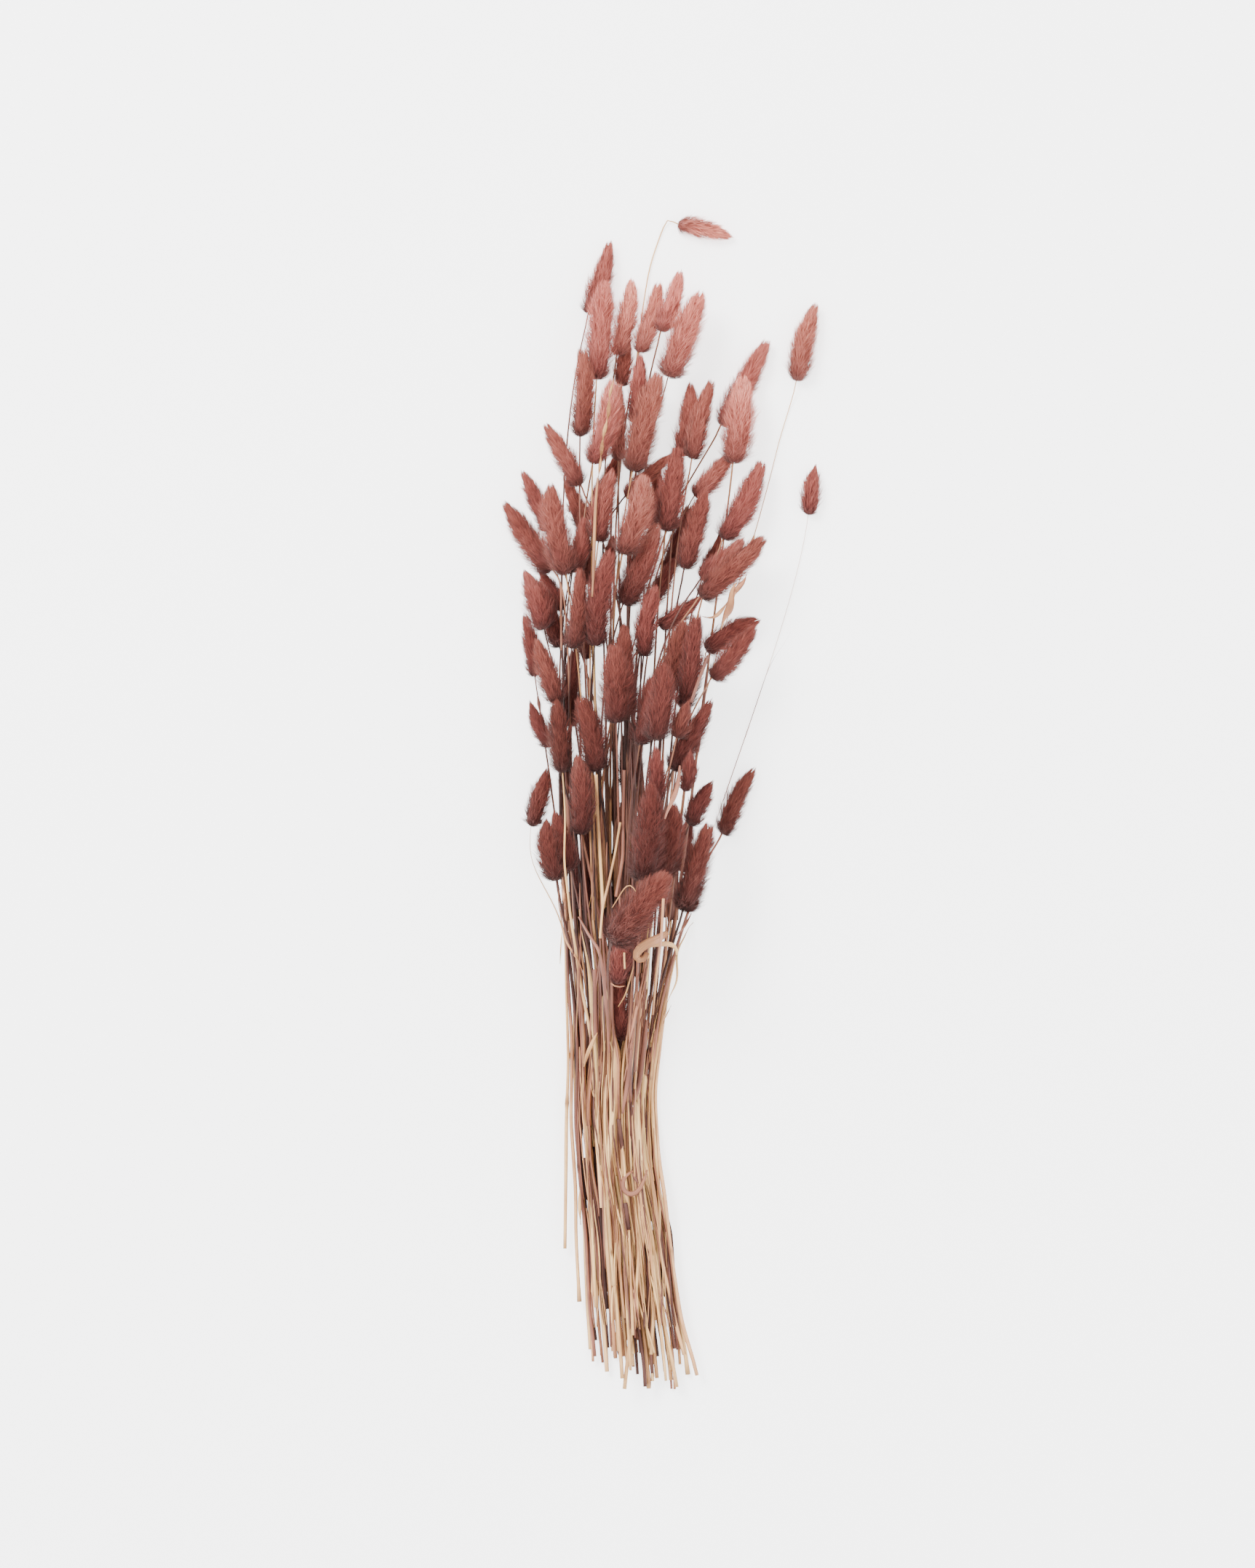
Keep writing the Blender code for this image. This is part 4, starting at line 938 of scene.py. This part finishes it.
def tapered(count, least, power, used=1.0, start=0.0):   # least + (1 - least) sin(pi share)^power
    share = np.linspace(0.0, 1.0, count) * used + start
    return least + (1.0 - least) * np.sin(np.pi * np.clip(share, 0.0, 1.0)) ** power


def swung(values, rng, twist, turn):   # a twist by chance to either side, and a turn that follows the values
    return rng.uniform(-twist, twist) + turn * values


blade = {
    "steps": (0.001, 0.0022),   # samples while it is laid and in its mesh
    "soft": 6,
    "half": 0.0014,   # widest half width that it is laid with
    "over": 0.0006,   # height of its middle over what it lies on
    "limp": 12.0,
    "taper": (0.35, 0.6, 0.9, 0.05),
    "straight": 2.3,   # arched more than this it keeps its width to the ends
    "rosy": (0.5, 1300.0),   # where it is less ripe than this, or straight and above this row
    "hues": ((0.2, 0.8), (0.0, 0.3)),   # of a yellow and of a rosy one
}

# dry leaves that show: points on the photograph, width in pixels, how pale, arch, turns of twist
blades = [
    ([(822, 655), (819, 690), (817, 740), (816, 790), (814, 825)], 5.6, 0.58, 1.8, 0.1),
    ([(845, 520), (838, 540), (836, 575), (829, 600), (825, 640), (822, 660)], 6.4, 0.72, 1.2, 2.6),
    ([(1026, 788), (1024, 802), (1015, 806), (1008, 816), (1006, 830)], 8.5, 0.66, 1.4, 0.6),
    ([(1014, 800), (1004, 812), (1006, 826), (1001, 842), (994, 852), (990, 868)], 12.0, 0.68, 1.4, 0.5),
    ([(1001, 826), (993, 838), (984, 850), (975, 853), (962, 848)], 6.0, 0.60, 1.2, 0.5),
    ([(974, 900), (966, 920), (956, 946), (948, 970)], 6.0, 0.36, 2.4, 0.0),
    ([(934, 1050), (932, 1072), (927, 1094), (917, 1112), (912, 1128)], 8.0, 0.56, 1.8, 0.3),
    ([(920, 1280), (906, 1289), (893, 1294), (880, 1301), (872, 1312), (877, 1322), (887, 1318), (890, 1306)],
     13.5, 0.70, 1.3, 0.12),
    ([(884, 1304), (897, 1298), (910, 1298), (922, 1297), (932, 1303), (930, 1316)], 8.0, 0.80, 1.4, 0.2),
    ([(956, 1268), (947, 1274), (941, 1291), (932, 1304), (930, 1318), (932, 1345), (929, 1358), (920, 1372),
      (912, 1400)], 3.4, 0.84, 1.0, 0.6),
    ([(951, 1252), (944, 1268), (935, 1282), (925, 1290)], 3.4, 0.45, 1.0, 0.4),
    ([(771, 1216), (766, 1236), (771, 1257), (773, 1276), (778, 1295), (790, 1312), (798, 1326), (803, 1345),
      (806, 1380)], 3.2, 0.66, 1.0, 0.6),
    ([(772, 1280), (770, 1302), (769, 1330)], 1.8, 0.90, 1.0, 0.3),
    ([(771, 1210), (776, 1226), (774, 1240), (779, 1252)], 5.0, 0.70, 1.2, 0.8),
    ([(794, 1258), (802, 1272), (812, 1289), (822, 1300), (827, 1318), (830, 1345), (835, 1400), (838, 1450)],
     6.0, 0.46, 2.2, 0.1),
    ([(818, 1330), (818, 1380), (819, 1428)], 9.0, 0.42, 2.4, 0.0),
    ([(822, 1418), (816, 1428), (812, 1440), (806, 1452), (802, 1470)], 7.0, 0.78, 1.6, 0.3),
    ([(888, 1322), (880, 1360), (872, 1400), (864, 1436)], 4.5, 0.60, 1.6, 0.2),
    ([(882, 1335), (879, 1380), (875, 1430), (872, 1478)], 6.0, 0.50, 1.6, 0.1),
    ([(889, 1400), (885, 1440), (879, 1490), (870, 1524)], 8.0, 0.44, 1.8, 0.1),
    ([(868, 1440), (864, 1475), (860, 1505), (855, 1534)], 7.0, 0.46, 1.8, 0.1),
    ([(850, 1536), (853, 1560), (856, 1584)], 9.0, 0.22, 2.8, 0.0),
    ([(856, 1581), (858, 1602), (861, 1640), (864, 1664)], 6.0, 0.84, 2.8, 0.0),
    ([(859, 1652), (862, 1672), (864, 1694)], 9.0, 0.24, 2.8, 0.0),
    ([(864, 1690), (866, 1730), (868, 1790), (870, 1840)], 6.2, 0.80, 2.8, 0.0),
    ([(873, 1610), (863, 1613), (856, 1621), (854, 1632), (859, 1642), (868, 1645), (877, 1640), (883, 1629),
      (887, 1617), (890, 1606)], 7.5, 0.52, 1.0, 0.3),
    ([(868, 1612), (874, 1620), (878, 1630)], 5.0, 0.34, 1.2, 0.2),
    ([(838, 1349), (842, 1355), (850, 1358), (861, 1354)], 2.6, 0.72, 1.2, 0.1),
    ([(872, 1324), (866, 1345), (860, 1368), (848, 1386)], 2.6, 0.72, 1.6, 0.0),
    ([(840, 1248), (848, 1236), (856, 1222), (864, 1211), (871, 1217), (875, 1226)], 1.8, 0.70, 1.2, 0.0),
    ([(819, 1062), (821, 1110), (825, 1180), (829, 1252)], 6.5, 0.88, 2.4, 0.0),
    ([(858, 1056), (857, 1110), (856, 1180), (846, 1236)], 6.5, 0.50, 2.4, 0.0),
    ([(853, 1128), (846, 1170), (838, 1208), (829, 1244), (825, 1290)], 4.5, 0.84, 2.4, 0.0),
    ([(911, 1230), (908, 1290), (902, 1340), (897, 1400)], 5.0, 0.78, 2.4, 0.0),
    ([(797, 1632), (796, 1660), (798, 1690)], 5.5, 0.85, 1.5, 0.6),
    ([(858, 1306), (858, 1319), (859, 1334)], 4.0, 0.86, 2.8, 0.0),
    ([(924, 1382), (919, 1392), (914, 1402), (911, 1412)], 2.0, 0.70, 1.0, 0.8),
]


def addBlade(skin, spots, width, ripe, arch, twist, rng):   # a dry leaf laid on the pile, curled and twisted
    laid, fine = blade["steps"]
    plan = softenedRun(evenRun(onTable(spots), laid), blade["soft"])
    half = 0.5 * width * bunch["pixel"]
    radius = min(half, blade["half"])
    heights = draped(plan, pile.needOver(plan, radius) - radius + blade["over"], 0, blade["limp"])
    line = evenRun(np.column_stack([plan, heights]), fine)
    share = np.linspace(0.0, 1.0, len(line))
    straight, (below, row) = arch > blade["straight"], blade["rosy"]
    widths = 2.0 * half * (1.0 if straight else tapered(len(line), *blade["taper"]))
    twists = math.tau * twist * (share - 0.5) + 0.15 * np.sin(share * 9.0)
    line[:, 2] += half * np.abs(np.sin(twists))
    tones = ripe + ripple(share * 7.0, 0.05, rng)
    hues = blade["hues"][ripe < below or (straight and spots[0][1] < row)]
    addStrip(skin, line, widths, arch, twists, tones, rng.uniform(*hues))


sheath = {
    "share": 0.85,   # of the stems have one
    "start": (0.05, 0.26),   # along the stem
    "length": (0.045, 0.120),
    "step": 0.0030,
    "clear": 0.03,   # above the cut end
    "away": (0.45, 0.7),   # share of its length from which it stands off
    "swing": 0.005,   # how far its point stands to a side, and how high
    "rise": 0.0022,
    "arch": (0.35, 0.9, 5.4, -4.2),   # nearly shut at its root and open at its point
    "over": (1.35, 2.3),   # its radius, in stem radii
    "narrow": (0.55, 1.0, 1.0, -0.86),
    "ripe": (850.0, 1500.0, 0.36, 0.52),
    "spread": 0.14,
    "palest": (0.05, 1.0),
    "twist": (0.5, 0.8),
}


def addSheath(skin, line, along, sizes, rng):   # round its stem, its pointed end standing off
    start, length = rng.uniform(*sheath["start"]), rng.uniform(*sheath["length"])
    if start + length > along[-1] - sheath["clear"]:
        return
    places = np.linspace(start, start + length, int(length / sheath["step"]))[::-1]
    share = np.linspace(0.0, 1.0, len(places))   # 0 at its root, 1 at its pointed end
    path = sampled(line, along, places)
    away = smoothStep(share, rng.uniform(*sheath["away"]), 1.0) ** 2
    path += crossways(path)[0] * (away * rng.uniform(-sheath["swing"], sheath["swing"]))[:, None]
    arches = stepped(share, *sheath["arch"])
    radius = np.interp(places, np.linspace(0.0, along[-1], len(sizes)), sizes) * rng.uniform(*sheath["over"])
    path[:, 2] += away * sheath["rise"]
    path[:, 2] -= radius * np.clip(-np.cos(arches / 2.0), 0.0, 1.0)
    ripe = stepped(photoRow(path[:, 1]), *sheath["ripe"]) + rng.normal(0.0, sheath["spread"])
    addStrip(skin, path, radius * arches * stepped(share, *sheath["narrow"]), arches,
             swung(away, rng, *sheath["twist"]), np.clip(ripe, *sheath["palest"]), rng.random())


litterAndShade = {
    "deep": (84, 1230.0, 1770.0, 0.08, 0.34),   # how many lie deep in the bundle, their rows, how ripe: dark, as painted shade in the gaps
    "waist": (44, 1010.0, 1250.0, 0.22, 0.50),   # and more of them among the stems above it, sheaths that also darken the gaps there as painted shade
    "waistSides": (776.0, 932.0),
    "order": (7, 20),   # from one to the next this many of the places across the bundle
    "step": 8.0,
    "long": (60.0, 190.0),
    "past": 20.0,
    "inset": 3.0,
    "right": (1440.0, 1520.0, 0.78, 0.18),   # slot of its right side
    "wide": (7.0, 14.0),
    "high": (0.0008, 0.0034),
    "taper": (0.3, 0.5),
    "arch": 0.5,
    "twist": (0.3, 0.2),
}


def addLitterAndShade(skin, rng, settings, sides=None):   # flattened dark sheaths that close gaps between the stems, painted shade where the table would show through
    many, top, bottom, *ripe = settings
    step, places = litterAndShade["order"]
    for slot in (np.arange(many) * step % places + rng.uniform(0.0, 1.0, many)) / places:
        first, long = rng.uniform(top, bottom), rng.uniform(*litterAndShade["long"])
        rows = np.arange(first, min(first + long, bottom + litterAndShade["past"]), litterAndShade["step"])
        right = bundleColumn(rows, stepped(rows, *litterAndShade["right"]))
        left, right = sides or (bundleEdge(rows) + litterAndShade["inset"], right)
        column = left + (right - left) * slot + 1.5 * np.sin(rows / 30.0 + slot * 40.0)
        height = np.full(len(rows), rng.uniform(*litterAndShade["high"]))
        line = np.column_stack([onTable(np.column_stack([column, rows])), height])
        widths = rng.uniform(*litterAndShade["wide"]) * bunch["pixel"] * tapered(len(rows), *litterAndShade["taper"])
        addStrip(skin, line, widths, litterAndShade["arch"], swung(np.sin(rows / 20.0), rng, *litterAndShade["twist"]),
                 rng.uniform(*ripe), rng.random() * strip["dullHue"], 3)


fibre = {
    "many": 250,
    "rows": (1140.0, 1800.0),   # where one starts
    "end": 1830.0,
    "slots": (0.03, 0.97),
    "long": (50.0, 230.0),
    "torn": (70, 1310.0, 1470.0, 860.0, 890.0),   # so many are of one big torn sheath: its rows and columns
    "tornLong": (50.0, 110.0),
    "tornRipe": (0.30, 0.66),
    "step": 5.0,
    "least": 8,   # samples
    "lean": 4.0,
    "sway": (14.0, 40.0),   # rows for a radian
    "radius": 0.0005,
    "limp": 8.0,
    "wide": (1.3, 3.4),
    "taper": (0.35, 0.5),
    "pale": (1350.0, 1600.0, 0.18, 0.50),   # share of pale ones
    "ripe": ((0.18, 0.58), (0.72, 1.0)),   # of dark and of pale ones
    "arch": 1.4,
    "twist": (0.5, 0.4),
}


def addFibres(skin, rng):   # thin torn strips along the stems, pale or dark
    many, top, bottom, *columns = fibre["torn"]
    middle, half, bareFrom, bareTo = straw["parting"]
    for number in range(fibre["many"]):
        first, slot, long = (rng.uniform(*fibre[key]) for key in ("rows", "slots", "long"))
        if number < many:
            first, long = rng.uniform(top, bottom), rng.uniform(*fibre["tornLong"])
            low, high = bundleColumn(first, 0.0), bundleColumn(first, 1.0)
            slot = (rng.uniform(*columns) - low) / (high - low)
        rows = np.arange(first, min(first + long, fibre["end"]), fibre["step"])
        if len(rows) < fibre["least"]:
            continue
        edge, lean = bundleEdge(rows), rng.normal(0.0, fibre["lean"]) * (np.linspace(0.0, 1.0, len(rows)) - 0.5)
        column = edge + (bundleColumn(rows, 1.0) - edge) * slot + lean
        column = column + ripple(rows / rng.uniform(*fibre["sway"]), 1.2, rng)
        plan = onTable(np.column_stack([column, rows]))
        bare = (np.abs(column - middle) < half) & (rows > bareFrom) & (rows < bareTo)
        if pile.furry(plan).any() or bare.any():
            continue
        heights = draped(plan, pile.needOver(plan, fibre["radius"]), 0, fibre["limp"])
        widths = rng.uniform(*fibre["wide"]) * bunch["pixel"] * tapered(len(rows), *fibre["taper"])
        pale = rng.random() < stepped(first, *fibre["pale"])
        ripe = rng.uniform(*fibre["ripe"][int(pale)])
        if number < many:
            ripe = rng.uniform(*fibre["tornRipe"])
        twists = swung(np.sin(rows / 25.0), rng, *fibre["twist"])
        hue = rng.random() * (1.0 if pale else strip["dullHue"])
        addStrip(skin, np.column_stack([plan, heights]), widths, fibre["arch"], twists, ripe, hue, 3)


rest = {
    "stalk": 29,
    "rows": (1120.0, 1220.0),
    "step": 0.003,
    "high": 0.0004,
    "look": (0.0044, 0.4, 0.0, 0.5, 0.2),   # width, arch, twist, ripeness and hue
}


def addRest(skin):   # the crushed sheath that lies on the table under a stem
    line = stalks[rest["stalk"]]["line"] * np.array([1.0, 1.0, 0.0])
    first, last = np.searchsorted(photoRow(line[:, 1]), rest["rows"])
    line = evenRun(line[first:last + 1], rest["step"])
    line[:, 2] = rest["high"]
    addStrip(skin, line, *rest["look"])


stalks, pile = layBunch()
print("laid", len(stalks), "stalks, pile", round(1000 * max(s["line"][:, 2].max() for s in stalks)), "mm high")

furFinish, strawFinish = furMaterial(), strawMaterial()
total = 0
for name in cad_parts:
    if name.startswith("head_"):
        skin = Skin()
        for number in name.split("_")[1:]:
            addFur(skin, int(number) - 1)
        piece = skin.piece("fur_" + name[5:], furFinish)
        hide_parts(name)
        total += skin.triangles
print("fur:", total, "triangles")

stemSkin, leafSkin = Skin(), Skin()
paths = chosenPaths()
rng = np.random.default_rng(bunch["leafSeed"])
for index in range(len(stalks)):
    line, along, sizes = addStem(stemSkin, index)
    if rng.random() < sheath["share"]:
        addSheath(leafSkin, line, along, sizes, rng)
addRest(leafSkin)
addLitterAndShade(leafSkin, rng, litterAndShade["deep"])
addFibres(leafSkin, rng)
for leaf in blades:
    addBlade(leafSkin, *leaf, rng)
addLitterAndShade(leafSkin, rng, litterAndShade["waist"], litterAndShade["waistSides"])
for skin, name in ((stemSkin, "stalk_stems"), (leafSkin, "dry_leaves")):
    piece = skin.piece(name, strawFinish)
    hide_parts("stems")
    print(name, skin.triangles, "triangles")

studio = {
    "lens": 150.0,
    "farthest": 20.0,   # that the camera sees
    "photoHeight": 2156.0,
    "photoMiddle": (862.5, 1078.0),
    "liftedPlane": 0.025,   # height at which the photograph's scale holds
    "floor": 3.0,   # from its middle to each side
    "world": 2.2,
    "paper": {"Base Color": (0.93, 0.93, 0.93, 1.0), "Roughness": 0.9, "Specular IOR Level": 0.1,
              "Emission Color": (1.0, 1.0, 1.0, 1.0), "Emission Strength": 2.2},
    "lamps": [("key", (-1.3, 1.5, 2.2), 1.2, 145.0), ("fill", (1.6, -0.8, 2.0), 1.8, 20.0)],   # size, watts
}


def buildStudio():   # the camera straight above, a glowing white table, a white room and two soft lamps
    x, y = onTable([studio["photoMiddle"]])[0]
    camera = bpy.data.cameras.new("camera")
    camera.lens, camera.clip_end = studio["lens"], studio["farthest"]
    distance = studio["photoHeight"] * bunch["pixel"] * studio["lens"] / camera.sensor_width
    eye = addToScene("camera", camera)
    eye.location = (x, y, distance + studio["liftedPlane"])
    bpy.context.scene.camera = eye

    half = studio["floor"]
    mesh = bpy.data.meshes.new("table top")
    corners = [(-half, -half, 0.0), (half, -half, 0.0), (half, half, 0.0), (-half, half, 0.0)]
    mesh.from_pydata(corners, [], [(0, 1, 2, 3)])
    mesh.materials.append(Finish("white paper", studio["paper"]).material)
    floor = addToScene("table-top", mesh)

    world = bpy.data.worlds.new("soft room")
    world.use_nodes = True
    sky = world.node_tree.nodes["Background"].inputs
    sky["Color"].default_value, sky["Strength"].default_value = (1.0, 1.0, 1.0, 1.0), studio["world"]
    bpy.context.scene.world = world
    for name, place, size, power in studio["lamps"]:
        lamp = bpy.data.lights.new(name, "AREA")
        lamp.size, lamp.energy = size, power
        light = addToScene(name, lamp)
        light.location = place
        tilt = math.acos(place[2] / np.linalg.norm(place))
        light.rotation_euler = (tilt, 0.0, math.atan2(-place[1], -place[0]) - math.pi / 2.0)


buildStudio()
